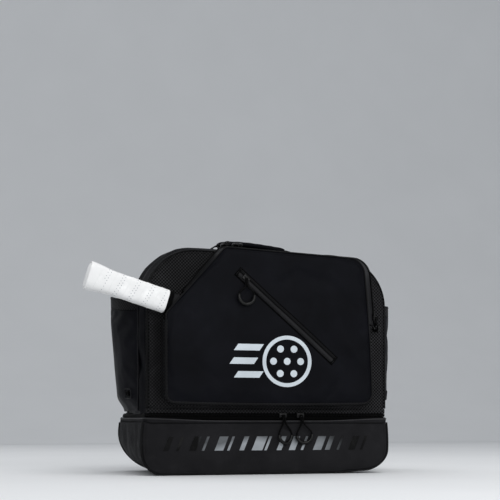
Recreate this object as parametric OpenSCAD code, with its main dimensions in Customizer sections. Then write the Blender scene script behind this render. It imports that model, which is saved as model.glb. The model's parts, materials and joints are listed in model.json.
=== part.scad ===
// Backpack-style paddle case: shoe compartment below, clamshell main compartment above,
// raised zipped paddle pocket on the front, two bottle pockets and two shoulder straps.
// Millimetres. Origin: centre of the bottom rest face. +Z up, the front faces -Y.

/* [Shoe compartment] */
// Width of the shoe compartment, side to side
tub_w = 400; // [390:2:410]
// Height of its front panel
tub_h = 82; // [78:1:86]
// Lower corner radius of the front panel
tub_corner_front = 30; // [24:1:36]
// Lower corner radius at the back
tub_corner_back = 66; // [56:1:72]
// Height of the storm band that covers the shoe zip
rim_h = 8.5; // [7:0.5:9]

/* [Main compartment] */
// Width of the front door
body_w = 394; // [386:2:400]
// Depth of the body, front face to back face, at the floor
body_d = 210; // [200:2:220]
// Height of the top edge of the door above the ground
body_top = 351; // [345:1:358]
// Top corner radius of the door
corner_front = 75; // [68:1:80]
// Top corner radius at the back
corner_back = 100; // [90:2:110]
// How far the stuffed sides and top stand out behind the door seam
bulge = 6; // [3:1:8]
// Forward lean of the back panel, in degrees
lean = 6.7; // [5:0.1:8]
// Thickness of the padded back panel
back_pad_t = 8; // [6:1:10]

/* [Paddle pocket] */
// Left edge of the pocket from the middle
flap_left = 173; // [168:1:176]
// Right edge of the pocket from the middle
flap_right = 166; // [160:1:172]
// Bottom edge of the pocket above the ground
flap_bottom = 112; // [110:1:116]
// Distance from the door face to the outer face of the pocket
flap_out = 32; // [30:1:34]
// Where the slanted corner leaves the left edge
cut_low_z = 248; // [244:1:252]
// Where the slanted corner meets the top edge
cut_top_x = 80; // [76:1:84]
// Height at which the open zipped mouth ends and the bellows begin
split_z = 240; // [236:1:244]
// How far the right wall slopes out towards the door
flap_slope = 8; // [6:1:9]

/* [Side pockets] */
// How far a side pocket stands out at its mouth
side_out_top = 36; // [34:1:40]
// How far it stands out at its bottom
side_out_bottom = 20; // [16:1:22]
// Height of the mouth above the ground
side_top = 289; // [284:1:292]
// Height of the elastic band at the mouth
side_band_h = 19; // [14:1:20]

/* [Paddle] */
// Overall length of the paddle
paddle_l = 400; // [394:2:402]
// Width of the face
paddle_w = 184; // [180:2:186]
// Thickness of the core
paddle_t = 14; // [12:1:16]
// Width of the wrapped handle
grip_w = 36; // [34:1:38]
// Thickness of the wrapped handle
grip_t = 29; // [27:1:30]
// Length of the wrapped handle
grip_l = 128; // [124:1:130]
// Upward tilt of the handle, in degrees
paddle_tilt = 17; // [16:0.5:18]

/* [Carrying] */
// Width of a shoulder strap
strap_w = 64; // [58:2:68]
// Thickness of a shoulder strap
strap_t = 12; // [10:1:14]
// Width of the haul loop, foot to foot
haul_w = 140; // [130:2:150]
// Height of the haul loop
haul_h = 20; // [16:1:24]

/* [Materials] */
// Thickness of the lined fabric walls
skin = 3; // [2.5:0.5:3]
// Size of the piping cord
pipe = 3; // [2.5:0.5:3]
// Width of webbing
webbing_w = 25; // [20:1:30]
// Thickness of webbing
webbing_t = 2; // [1.5:0.5:2.5]

/* [Hidden] */
$fn = 32;

gap = 0.5;                     // air between separate fabric parts
cut = 1;                       // overshoot of a cutting solid
face_y = -body_d / 2;          // outer face of the door and of the shoe compartment
back_y = body_d / 2;           // outer face of the back, at the floor
lining_y = back_y - back_pad_t; // inner face of the back panel
rim_z = tub_h + rim_h;         // top of the storm band
zip_half = 2.6;                // height of one half of the shoe zip
zip_z = rim_z + zip_half + 0.2; // line where the two halves of the shoe zip meet
body_z = zip_z + zip_half + 0.9; // underside of the main compartment
sill_h = 7;                    // height of the sill under the door
door_z = body_z + sill_h + 0.7; // bottom edge of the door
zip_y = face_y + skin;         // front of the main zip
gusset_y = face_y + 8;         // front edge of the main gusset
bulge_y = -40;                 // depth at which the sides stand out the most
side_front = -72;              // front and back seam of a side pocket
side_back = 86;
back_half = body_w / 2 - 7;    // half width of the back panel
back_top = body_top + 3;       // height of the back panel
flap_y = face_y - flap_out;    // outer face of the paddle pocket
flap_t = 3;                    // thickness of the pocket's front panel
flap_top_left = body_top + 1;  // top edge of the pocket at the slanted corner
flap_top_right = body_top - 9; // top edge of the pocket at the right
flap_right_top = flap_right - 14; // the right edge leans in towards the top
flap_spread = 4;               // how far the walls spread on all sides towards the door
zip_step = 3;                  // depth of one half of the pocket zip
grip_x = -292;                 // middle of the butt end of the paddle
grip_z = 303.5;
paddle_y = face_y - 16.5;      // middle plane of the paddle
throat_x = grip_l + 8;         // where the bare core leaves the handle, from the butt
face_start = 150;              // where the face starts to widen, from the butt
guard_w = 4;                   // width of the edge guard
strap_x = 48;                  // top of a strap from the middle
strap_low_x = 118;             // bottom of a strap from the middle
strap_top_z = 334;
strap_low_z = 158;
tab_z = 112;                   // lower strap tabs
tab_x = 160;
haul_y = 6;                    // the haul loop stands in the middle of the top
haul_base = body_top + 4.5;    // underside of its sewn tabs
haul_z = haul_base + 8.5;      // axis about which the loop flops
slider_w = 13;                 // length of a zip slider
slider_t = 4;
cord_d = 2.6;                  // diameter of the cord in a zip pull

black = [0.07, 0.07, 0.08];
charcoal = [0.16, 0.16, 0.17];
white = [0.95, 0.95, 0.95];
light_grey = [0.74, 0.77, 0.8];

// ---------- outlines ----------

function unit(v) = v / norm(v);
function flat(v) = [v[0], v[1]];
function turn_of(u, v) = sign(u[1] * v[0] - u[0] * v[1]);

// Arc that replaces the corner c = [x, y, radius] between its neighbours p and q
function corner(p, c, q, steps) =
    c[2] == 0 ? [flat(c)] :
    let (u = unit(flat(p) - flat(c)),
         v = unit(flat(q) - flat(c)),
         half = acos(u * v) / 2,
         centre = flat(c) + unit(u + v) * c[2] / sin(half),
         from = flat(c) + u * c[2] / tan(half) - centre,
         start = atan2(from[1], from[0]),
         sweep = turn_of(u, v) * (180 - 2 * half))
    [for (i = [0:steps]) centre + c[2] * [cos(start + sweep * i / steps), sin(start + sweep * i / steps)]];

// Closed outline through corners, each rounded by its own radius
function outline(c, steps = 8) =
    let (n = len(c)) [for (i = [0:n - 1]) each corner(c[(i + n - 1) % n], c[i], c[(i + 1) % n], steps)];

// Arch-shaped outline: square at the bottom, rounded at the top
function arch(half, low, high, r) =
    outline([[-half, low, 0], [half, low, 0], [half, high, r], [-half, high, r]]);

function door_outline(inset, low = door_z) =
    arch(body_w / 2 - inset, low, body_top - inset, corner_front - inset);

function bulge_outline(inset, low) =
    arch(body_w / 2 + bulge - inset, low, body_top + bulge - inset, corner_front + bulge - inset);

function back_outline(inset, low) =
    arch(back_half - inset, low, back_top - inset, corner_back - inset);

// Shoe compartment seen from the front: square at the top, rounded at the bottom
function tub_outline(inset, r, high = tub_h) =
    outline([[-tub_w / 2 + inset, inset, r - inset], [tub_w / 2 - inset, inset, r - inset],
             [tub_w / 2 - inset, high, 0], [-tub_w / 2 + inset, high, 0]]);

function flap_outline(inset, slope = 0) =
    outline([[-flap_left + inset, flap_bottom + inset, 14 - inset],
             [flap_right + slope - inset, flap_bottom + inset, 16 - inset],
             [flap_right_top + slope - inset, flap_top_right - inset, 26 - inset],
             [-cut_top_x + inset * 0.4, flap_top_left - inset, 9 - inset],
             [-flap_left + inset, cut_low_z - inset * 0.4, 12 - inset]]);

// Main compartment seen from above
function body_plan(inset, front = gusset_y) =
    [[-body_w / 2 + inset, front], [body_w / 2 - inset, front],
     [body_w / 2 + bulge - inset, bulge_y], [back_half - inset, lining_y],
     [-back_half + inset, lining_y], [-body_w / 2 - bulge + inset, bulge_y]];

// Stand a flat outline upright, from depth y backwards
module upright(y, thickness) {
    translate([0, y + thickness, 0])
        rotate([90, 0, 0])
            linear_extrude(thickness) children();
}

// Frame of the leaning back: upright things in it lean with the back panel
module leaning() {
    translate([0, back_y, body_z])
        rotate([lean, 0, 0])
            translate([0, -back_y, -body_z]) children();
}

// Everything behind the inner face of the leaning back panel
module behind_lining() {
    leaning()
        translate([-body_w, lining_y, -body_top])
            cube([2 * body_w, body_d, 3 * body_top]);
}

// Frame of the paddle: +X runs from the butt towards the face
module along_paddle() {
    translate([grip_x, paddle_y, grip_z])
        rotate([0, paddle_tilt, 0]) children();
}

// ---------- shoe compartment ----------

module tub_front() {
    color(charcoal)
        upright(face_y, skin)
            polygon(tub_outline(pipe, tub_corner_front));
}

module tub_loft(inset) {
    hull() {
        upright(face_y + skin - (inset > 0 ? cut : 0), cut)
            polygon(tub_outline(inset, tub_corner_front, tub_h + (inset > 0 ? cut : 0)));
        upright(back_y - skin - (inset > 0 ? 0 : cut), cut)
            polygon(tub_outline(inset, tub_corner_back, tub_h + (inset > 0 ? cut : 0)));
    }
}

module tub_gusset() {
    color(charcoal)
        difference() {
            tub_loft(0);
            tub_loft(skin);
        }
}

module tub_back() {
    color(charcoal)
        upright(back_y - skin, skin)
            polygon(tub_outline(0, tub_corner_back, rim_z));
}

module tub_piping() {
    color(black)
        upright(face_y - 1, pipe)
            difference() {
                polygon(tub_outline(0, tub_corner_front));
                polygon(tub_outline(pipe, tub_corner_front, tub_h + cut));
            }
}

// Band around the front and the sides, seen from above, with front corners of radius r
module front_and_sides(half, front, thickness, back, r = 10) {
    difference() {
        polygon(outline([[-half, back, 0], [-half, front, r], [half, front, r], [half, back, 0]]));
        polygon(outline([[-half + thickness, back + cut, 0],
                         [-half + thickness, front + thickness, r - thickness],
                         [half - thickness, front + thickness, r - thickness],
                         [half - thickness, back + cut, 0]]));
    }
}

module storm_band() {
    color(black)
        translate([0, 0, tub_h])
            linear_extrude(rim_h)
                front_and_sides(tub_w / 2 + 1.5, face_y - 1.5, skin, back_y - skin);
}

module shoe_zip_lower() {
    color(black)
        translate([0, 0, rim_z])
            linear_extrude(zip_half)
                front_and_sides(tub_w / 2 - 1, face_y + 0.5, skin, back_y - skin);
}

module base_board() {
    color(black)
        translate([-tub_w / 2 + tub_corner_back, face_y + 12, skin + gap])
            cube([tub_w - 2 * tub_corner_back, body_d - 30, 2]);
}

// A row of slanted gloss bars in place of lettering
module tub_print() {
    bars = [8, 4, 11, 4, 14, 4, 8, 17, 4, 8, 11, 4, 14, 8, 4, 11, 4]; // widths
    start = -172;
    pitch = 20.2;
    low = 38;
    tall = 22;
    slant = 9;
    color(light_grey)
        upright(face_y - 0.4, 0.4 - 0.05)
            for (i = [0:len(bars) - 1])
                translate([start + pitch * i, low])
                    polygon([[0, 0], [bars[i], 0], [bars[i] + slant, tall], [slant, tall]]);
}

// ---------- main compartment ----------

module body_loft(inset) {
    low = body_z - (inset > 0 ? cut : 0);
    hull() {
        upright(gusset_y - (inset > 0 ? cut : 0), cut) polygon(door_outline(inset, low));
        upright(bulge_y, cut) polygon(bulge_outline(inset, low));
        leaning()
            upright(lining_y + 2 + inset, cut) polygon(back_outline(inset, low));
    }
}

module main_gusset() {
    color(black)
        difference() {
            body_loft(0);
            body_loft(skin);
            behind_lining();
        }
}

module back_panel() {
    color(black)
        leaning()
            upright(lining_y + gap, back_pad_t - gap)
                polygon(back_outline(0, body_z + gap));
}

module frame_sheet() {
    color(charcoal)
        leaning()
            upright(lining_y - 2, 1.5)
                polygon(back_outline(12, body_z + 8));
}

module floor_divider() {
    color(black)
        difference() {
            translate([0, 0, body_z])
                linear_extrude(2) polygon(body_plan(skin + gap, zip_y + gap));
            behind_lining();
        }
}

module front_sill() {
    color(black)
        translate([0, 0, body_z])
            linear_extrude(sill_h)
                front_and_sides(body_w / 2, face_y, skin, gusset_y - gap, skin + cut);
}

module shoe_zip_upper() {
    color(black)
        translate([0, 0, zip_z + 0.2])
            linear_extrude(zip_half)
                difference() {
                    polygon(body_plan(0, face_y + 0.5));
                    translate([0, 2 * skin]) polygon(body_plan(skin, face_y - skin + 0.5));
                }
}

// Half of a zip that follows the door's edge
module door_zip(y) {
    upright(y, 2.2)
        difference() {
            polygon(door_outline(0.5));
            polygon(door_outline(0.5 + skin, door_z - cut));
        }
}

module main_zip_rear() {
    color(black) door_zip(zip_y + 2.6);
}

// ---------- side pockets ----------

// The left pocket's bulge seen from above
function side_plan(out, inset) =
    let (y0 = side_front + inset, y1 = side_back - inset, n = 16)
    concat([for (i = [0:n])
                [-body_w / 2 + 6 - (out - inset) * pow(sin(180 * i / n), 0.45), y0 + (y1 - y0) * i / n]],
           [[-body_w / 2 + 30, y1], [-body_w / 2 + 30, y0]]);

module side_loft(inset) {
    hull() {
        translate([0, 0, body_z + 4 + inset])
            linear_extrude(cut) polygon(side_plan(side_out_bottom + 10, inset));
        translate([0, 0, side_top])
            linear_extrude(cut) polygon(side_plan(side_out_top + 6, inset));
    }
}

// Slice of the pocket shell between two heights
module side_shell(low, high, thickness) {
    difference() {
        intersection() {
            side_loft(0);
            translate([-body_w, -body_d, low]) cube([body_w, 2 * body_d, high - low]);
        }
        side_loft(thickness);
        translate([0, 0, low - cut])
            linear_extrude(high - low + 2 * cut) polygon(body_plan(-gap));
    }
}

module side_pocket_left() {
    color(charcoal) side_shell(body_z + 5, side_top - side_band_h - gap, 2.4);
}

module side_pocket_right() {
    color(charcoal) mirror([1, 0, 0]) side_shell(body_z + 5, side_top - side_band_h - gap, 2.4);
}

module side_band_left() {
    color(black) side_shell(side_top - side_band_h, side_top, skin);
}

module side_band_right() {
    color(black) mirror([1, 0, 0]) side_shell(side_top - side_band_h, side_top, skin);
}

eyelet_x = 221.5;              // middle of the drain eyelet on the pocket's skin
eyelet_y = -27;
eyelet_z = 131;
eyelet_turn = 12;
eyelet_size = 14;              // side of the eyelet's square patch
eyelet_hole = 6;

// Drain eyelet low on each side pocket: a round-cornered patch with a square hole
module pocket_eyelets() {
    color(black)
        for (s = [-1, 1])
            translate([s * eyelet_x, eyelet_y, eyelet_z])
                rotate([0, 90, -s * eyelet_turn])
                    linear_extrude(webbing_t, center = true)
                        difference() {
                            polygon(outline([for (c = [[-1, -1], [1, -1], [1, 1], [-1, 1]])
                                                 [c[0] * eyelet_size / 2, c[1] * eyelet_size / 2, 4]]));
                            square(eyelet_hole, center = true);
                        }
}

// ---------- back and carrying parts on the main compartment ----------

module back_pads() {
    color(charcoal)
        leaning()
            for (s = [-1, 1])
                upright(back_y + gap, 9)
                    polygon(outline([[s * 22, 132, 12], [s * 150, 132, 30],
                                     [s * 142, 300, 44], [s * 22, 300, 12]]));
}

// Webbing sewn across the top of the back, which the straps hang from
module strap_yoke() {
    color(black)
        leaning()
            translate([-90, back_y + gap, strap_top_z - 2])
                cube([180, 6, 22]);
}

module strap_tabs() {
    color(black)
        leaning()
            for (s = [-1, 1])
                translate([s * tab_x - 19, back_y + gap, tab_z - 10])
                    cube([38, 5, 22]);
}

module haul_tabs() {
    color(black)
        for (s = [-1, 1])
            translate([s * haul_w / 2 - 12, haul_y - webbing_w / 2, haul_base])
                cube([24, webbing_w, 1.6]);
}

module strap_side() {
    leaning()
        intersection() {
            upright(back_y, 80)
                polygon(concat(strap_edge(-strap_w / 2), reverse(strap_edge(strap_w / 2))));
            rotate([90, 0, 90])
                linear_extrude(tub_w)
                    polygon(concat(strap_bow(0), reverse(strap_bow(strap_t))));
        }
}

function reverse(list) = [for (i = [len(list) - 1:-1:0]) list[i]];
function strap_height(t) = strap_top_z - 4 + (strap_low_z - strap_top_z + 4) * t;

// One long edge of the strap, seen from behind: it leaves the yoke and swings outwards
function strap_edge(side) =
    [for (i = [0:14]) let (t = i / 14)
        [strap_x + (strap_low_x - strap_x) * (1 - cos(180 * t)) / 2 + side * (1 - 0.35 * t * t),
         strap_height(t)]];

// The strap seen from the side: it bows away from the back
function strap_bow(out) =
    [for (i = [0:14]) let (t = i / 14)
        [back_y + 10.5 + 26 * sin(150 * t) + out, strap_height(t)]];

module strap_left() {
    color(charcoal) mirror([1, 0, 0]) strap_side();
}

module strap_right() {
    color(charcoal) strap_side();
}

// Webbing from the lower end of a strap to its tab on the body
module strap_webbing_side() {
    low = [tab_x, back_y + 7, tab_z + 6];
    high = [strap_low_x, back_y + 30, strap_low_z - 4];
    leaning()
        hull() {
            translate(low) cube([webbing_w, webbing_t, 1], center = true);
            translate(high) cube([webbing_w, webbing_t, 1], center = true);
        }
}

module strap_webbing_left() {
    color(black) mirror([1, 0, 0]) strap_webbing_side();
}

module strap_webbing_right() {
    color(black) strap_webbing_side();
}

// ---------- haul loop ----------

module haul_arch(thickness) {
    function bow(r_out) = [for (i = [0:16]) let (a = 180 * i / 16)
        [(haul_w / 2 + r_out) * cos(a), (haul_h + r_out) * pow(sin(a), 0.7)]];
    translate([0, haul_y, haul_z])
        rotate([90, 0, 0])
            linear_extrude(webbing_w, center = true)
                polygon(concat(bow(thickness / 2), reverse(bow(-thickness / 2))));
}

// The stiff padded middle of the loop, from side to side
module haul_middle() {
    translate([-haul_w * 0.3, haul_y - webbing_w, haul_z])
        cube([haul_w * 0.6, 2 * webbing_w, 2 * haul_h]);
}

module haul_webbing() {
    color(black)
        difference() {
            haul_arch(webbing_t);
            haul_middle();
        }
}

module haul_grip() {
    color(charcoal)
        intersection() {
            haul_arch(6);
            haul_middle();
        }
}

// ---------- door ----------

module door_panel() {
    color(black)
        upright(face_y, skin - gap)
            polygon(door_outline(pipe));
}

module door_piping() {
    color(charcoal)
        upright(face_y - 1, pipe)
            difference() {
                polygon(door_outline(0));
                polygon(door_outline(pipe, door_z - cut));
            }
}

module main_zip_front() {
    color(black) door_zip(zip_y + 0.1);
}

// ---------- paddle pocket ----------

// The way out for the handle, open towards the door
module handle_way() {
    side = 2.5;
    along_paddle()
        translate([0, -grip_t / 2 - side, -grip_w / 2 - side])
            cube([face_start + 20, 2 * grip_t, grip_w + 2 * side]);
}

module flap_loft(inset, front, back) {
    hull() {
        upright(front, 0.5) polygon(flap_outline(inset));
        upright(back - 0.5, 0.5) polygon(flap_outline(inset - flap_spread, flap_slope));
    }
}

// Wall of the pocket between two depths
module flap_wall(front, back) {
    difference() {
        flap_loft(0, front, back);
        flap_loft(2, front - 0.6, back + 0.6);
        handle_way();
    }
}

module above_split() {
    translate([-tub_w, -body_d, split_z]) cube([2 * tub_w, body_d, body_top]);
}

module pocket_zip(front) {
    difference() {
        upright(front, zip_step - 0.3)
            difference() {
                polygon(flap_outline(-flap_spread, flap_slope));
                polygon(flap_outline(skin - flap_spread, flap_slope));
            }
        handle_way();
        translate([-tub_w, -body_d, 0]) cube([2 * tub_w, body_d, split_z]);
    }
}

module pocket_zip_rear() {
    color(black) pocket_zip(face_y - zip_step - 1.2);
}

module pocket_zip_front() {
    color(black) pocket_zip(face_y - 2 * zip_step - 1.2);
}

module flap_panel() {
    color(black)
        upright(flap_y, flap_t)
            polygon(flap_outline(pipe / 2));
}

module flap_piping() {
    color(charcoal)
        upright(flap_y - 0.5, pipe)
            difference() {
                polygon(flap_outline(-pipe / 2));
                polygon(flap_outline(pipe / 2));
            }
}

module flap_gusset() {
    color(black)
        intersection() {
            flap_wall(flap_y + flap_t + gap, face_y - 2 * zip_step - 1.6);
            above_split();
        }
}

// Pleated lower walls that let the pocket open forwards
module flap_bellows() {
    color(black)
        difference() {
            flap_wall(flap_y + flap_t + gap, face_y - 1.6);
            translate([0, 0, -gap]) above_split();
        }
}

// ---------- slanted zip on the pocket ----------

welt_from = [-61, 314];        // upper end of the slanted zip
welt_to = [96, 179];           // lower end
welt_l = norm(welt_to - welt_from);
welt_turn = atan2(welt_from[1] - welt_to[1], welt_to[0] - welt_from[0]);

// Frame of the slanted zip: +X runs down along it, -Y is out of the pocket
module along_welt() {
    translate([welt_from[0], flap_y, welt_from[1]])
        rotate([0, welt_turn, 0]) children();
}

module welt_zip() {
    color(charcoal)
        along_welt()
            difference() {
                translate([0, -1.4, -7]) cube([welt_l, 1.3, 14]);
                translate([6, -1.4 - cut, -1.6]) cube([welt_l - 12, 1.3 + 2 * cut, 3.2]);
            }
}

// Generic badge: the outline of a ball with its holes, and three slanted speed bars
module emblem() {
    ball = 40;
    line = 6;
    hole = 5.5;                // radius of one hole
    hole_ring = 22;            // distance of the outer holes from the middle
    bars = [[-79, 21, 48], [-86, 0, 46], [-79, -21, 48]]; // left end, height and length of each bar
    color(light_grey)
        translate([18, flap_y, 177])
            upright(-0.6, 0.5) {
                difference() {
                    circle(r = ball);
                    circle(r = ball - line);
                }
                circle(r = hole);
                for (i = [0:5]) rotate(60 * i) translate([hole_ring, 0]) circle(r = hole);
                for (bar = bars)
                    translate([bar[0], bar[1]])
                        polygon([[-7, -5], [bar[2] - 14, -5], [bar[2] - 7, 5], [0, 5]]);
            }
}

// ---------- paddle ----------

// Paddle outline from above: throat, shoulders, straight sides and a rounded end
function paddle_outline(inset) =
    outline([[throat_x, -17 + inset, 0],
             [face_start + 14, -17 + inset, 10],
             [face_start + 72, -paddle_w / 2 + inset, 40 - inset],
             [paddle_l - inset, -paddle_w / 2 + inset, 70 - inset],
             [paddle_l - inset, paddle_w / 2 - inset, 70 - inset],
             [face_start + 72, paddle_w / 2 - inset, 40 - inset],
             [face_start + 14, 17 - inset, 10],
             [throat_x, 17 - inset, 0]]);

module paddle_core() {
    color(charcoal)
        along_paddle()
            upright(-paddle_t / 2, paddle_t)
                polygon(paddle_outline(guard_w / 2 + 0.2));
}

// Edge guard: a rim around the face only
module edge_guard() {
    color(black)
        along_paddle()
            difference() {
                upright(-paddle_t / 2 - 1, paddle_t + 2)
                    difference() {
                        polygon(paddle_outline(0));
                        polygon(paddle_outline(guard_w / 2));
                    }
                translate([0, -body_d, -paddle_w]) cube([face_start + 18, 2 * body_d, 2 * paddle_w]);
            }
}

// Cross-section of the handle, as an octagon with soft corners
module handle_section(w, t) {
    k = 0.29;
    polygon(outline([for (c = [[1, 1 - 2 * k], [1, 2 * k - 1], [1 - 2 * k, -1], [2 * k - 1, -1],
                               [-1, 2 * k - 1], [-1, 1 - 2 * k], [2 * k - 1, 1], [1 - 2 * k, 1]])
                         [c[0] * w / 2, c[1] * t / 2, 3]], 3));
}

// A length of handle from x0 on, as wide as w and as thick as t
module handle_length(x0, length, w, t) {
    along_paddle()
        translate([x0, 0, 0])
            rotate([0, 90, 0])
                linear_extrude(length) handle_section(w, t);
}

module paddle_handle() {
    color(charcoal)
        handle_length(8, throat_x - 8 - 0.1, grip_w - 6, grip_t - 8);
}

module grip_wrap() {
    color(white)
        difference() {
            union() {
                handle_length(8, grip_l - 8, grip_w, grip_t);
                handle_length(2, 12, grip_w + 5, grip_t + 4);
            }
            handle_length(1, grip_l + 4, grip_w - 5.8, grip_t - 7.8);
        }
}

module butt_cap() {
    color(white)
        handle_length(1.2, 6.5, grip_w - 6, grip_t - 8);
}

module grip_collar() {
    color(black)
        difference() {
            handle_length(grip_l + 0.2, 6, grip_w - 2, grip_t - 5);
            handle_length(grip_l - 1, 8, grip_w - 5.8, grip_t - 7.8);
        }
}

// ---------- zip sliders and pulls ----------

// A slider whose zip runs along X and whose front faces -Y; its bridge takes the cord
module slider() {
    difference() {
        translate([-slider_w / 2, -slider_t, -4.5]) cube([slider_w, slider_t, 9]);
        translate([-2, -slider_t - cut, -2.2]) cube([4, 2 + cut, 7]);
    }
}

// A cord loop that hangs from a bridge at the origin; length is how far it reaches, r how wide
module pull(length, r = 5.5) {
    translate([0, 0, -length + r + 2])
        rotate([90, 0, 0])
            rotate([0, 0, 180])
                rotate_extrude(angle = 180) translate([r, 0]) circle(d = 4.2);
    for (s = [-1, 1])
        translate([s * r, 0, -length + r + 2])
            rotate([0, -s * atan2(r - 1.1, length - r - 4), 0])
                cylinder(d = cord_d, h = length - r - 3);
}

shoe_slider_z = zip_z;
shoe_slider_y = face_y - 1.7;
shoe_pull_y = shoe_slider_y - slider_t + 0.3;
shoe_slider_x = [21, 50];      // the two sliders meet right of the middle
wide_pull = 11;                // radius of the wide loops on the front
main_slider_x = [-66, -46];
main_slider_y = zip_y + 2.4;
main_pull_turn = 105;          // the pulls lie back and point up a little

module shoe_slider(i) {
    color(black)
        translate([shoe_slider_x[i], shoe_slider_y, shoe_slider_z]) slider();
}

module shoe_pull(i) {
    color(charcoal)
        translate([shoe_slider_x[i], shoe_pull_y - 2.4, shoe_slider_z + 1]) pull(46, wide_pull);
}

module shoe_slider_left() { shoe_slider(0); }
module shoe_slider_right() { shoe_slider(1); }
module shoe_pull_left() { shoe_pull(0); }
module shoe_pull_right() { shoe_pull(1); }

// Sliders of the main zip, on top of the bag
module main_slider(i) {
    color(black)
        translate([main_slider_x[i], main_slider_y, body_top + 0.3])
            rotate([-90, 0, 0]) slider();
}

module main_pull(i) {
    color(charcoal)
        translate([main_slider_x[i], main_slider_y, body_top + slider_t + 4])
            rotate([main_pull_turn, 0, 0]) pull(30);
}

module main_slider_left() { main_slider(0); }
module main_slider_right() { main_slider(1); }
module main_pull_left() { main_pull(0); }
module main_pull_right() { main_pull(1); }

// Slider of the paddle pocket, at the right end of its zip
pocket_slider_z = split_z + 12;
pocket_slider_x = flap_right + 5;
pocket_slider_y = face_y - 9;

module pocket_slider() {
    color(black)
        translate([pocket_slider_x, pocket_slider_y, pocket_slider_z])
            rotate([0, 90, 90]) slider();
}

module pocket_pull() {
    color(charcoal)
        translate([pocket_slider_x + slider_t + 2.6, pocket_slider_y, pocket_slider_z])
            rotate([0, 0, 90]) pull(30);
}

welt_slider_s = 16;            // rest place of the slider along the slanted zip

module welt_slider() {
    color(black)
        along_welt()
            translate([welt_slider_s, -1.6, 0]) slider();
}

module welt_pull() {
    color(charcoal)
        translate([welt_from[0] + welt_slider_s * cos(welt_turn), flap_y - slider_t - 3.9,
                   welt_from[1] - welt_slider_s * sin(welt_turn) + 1])
            pull(42, wide_pull);
}

tub_front();
tub_gusset();
tub_back();
tub_piping();
storm_band();
shoe_zip_lower();
base_board();
tub_print();
main_gusset();
back_panel();
frame_sheet();
floor_divider();
front_sill();
shoe_zip_upper();
main_zip_rear();
side_pocket_left();
side_pocket_right();
side_band_left();
side_band_right();
pocket_eyelets();
back_pads();
strap_yoke();
strap_tabs();
haul_tabs();
door_panel();
door_piping();
main_zip_front();
pocket_zip_rear();
flap_panel();
flap_piping();
flap_gusset();
pocket_zip_front();
flap_bellows();
welt_zip();
emblem();
paddle_core();
edge_guard();
paddle_handle();
grip_wrap();
butt_cap();
grip_collar();
haul_webbing();
haul_grip();
strap_left();
strap_right();
strap_webbing_left();
strap_webbing_right();
shoe_slider_left();
shoe_slider_right();
shoe_pull_left();
shoe_pull_right();
main_slider_left();
main_slider_right();
main_pull_left();
main_pull_right();
pocket_slider();
pocket_pull();
welt_slider();
welt_pull();
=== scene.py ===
"""Looks of the paddle case: fabric shells, piping, zips, cords, straps and the stowed paddle.

Lengths are in millimetres in the code and become metres when a mesh is made.
"""
import json
import math

import bmesh
import bpy
from mathutils import Matrix, Vector, noise
from mathutils.bvhtree import BVHTree

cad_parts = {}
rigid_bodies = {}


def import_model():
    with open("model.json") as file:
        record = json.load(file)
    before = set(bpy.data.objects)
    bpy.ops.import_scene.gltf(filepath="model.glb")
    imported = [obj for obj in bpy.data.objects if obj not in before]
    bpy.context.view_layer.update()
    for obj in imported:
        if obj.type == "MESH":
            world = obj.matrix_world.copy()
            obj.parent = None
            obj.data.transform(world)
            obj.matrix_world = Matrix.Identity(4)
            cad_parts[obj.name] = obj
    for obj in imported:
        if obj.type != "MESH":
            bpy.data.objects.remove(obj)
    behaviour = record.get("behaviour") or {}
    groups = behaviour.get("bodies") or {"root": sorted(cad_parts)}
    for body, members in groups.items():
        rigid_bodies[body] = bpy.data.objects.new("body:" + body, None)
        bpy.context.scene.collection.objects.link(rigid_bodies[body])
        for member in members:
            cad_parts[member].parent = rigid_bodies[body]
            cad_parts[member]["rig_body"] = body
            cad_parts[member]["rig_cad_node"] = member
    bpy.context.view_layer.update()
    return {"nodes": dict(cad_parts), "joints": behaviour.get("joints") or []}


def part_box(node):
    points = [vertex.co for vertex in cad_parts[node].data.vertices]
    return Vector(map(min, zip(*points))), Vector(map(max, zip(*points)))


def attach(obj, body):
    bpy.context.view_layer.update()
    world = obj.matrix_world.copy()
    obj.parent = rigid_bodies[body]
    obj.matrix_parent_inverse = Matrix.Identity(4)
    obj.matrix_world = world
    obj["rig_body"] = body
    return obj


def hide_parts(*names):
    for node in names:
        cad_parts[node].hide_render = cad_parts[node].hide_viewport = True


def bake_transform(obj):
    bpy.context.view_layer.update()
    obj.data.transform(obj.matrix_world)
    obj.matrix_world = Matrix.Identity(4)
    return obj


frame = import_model()
MM = 0.001
SCENE = bpy.context.scene
UP = Vector((0, 0, 1))
FRONT = Vector((0, -1, 0))
BACK = Vector((0, 1, 0))
SHARP_EDGE = math.radians(35)
SAME_POINT = 0.01 * MM
CLOTH_FRAMES = 16


# ---------------------------------------------------------------- measuring the frame

def box(node):
    """Lowest and highest corner of a CAD node, in millimetres."""
    low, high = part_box(node)
    return low / MM, high / MM


def joint(name):
    """The place of a joint's axis, in millimetres."""
    found = next(j for j in frame["joints"] if j["name"] == name)
    return Vector(found["pos_m"]) / MM


# ---------------------------------------------------------------- numbers and curves

def clamp(t):
    return min(max(t, 0.0), 1.0)


def smooth(t):
    t = clamp(t)
    return t * t * (3 - 2 * t)


def mix(a, b, t):
    return a + (b - a) * t


def rough(p, size, seed=0.0):
    """Smooth noise from -1 to 1 at point p, with features about size millimetres across."""
    return noise.noise(Vector((p[0], p[1], p[2])) / size + Vector((seed, seed * 1.7, seed * 2.3)))


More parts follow.
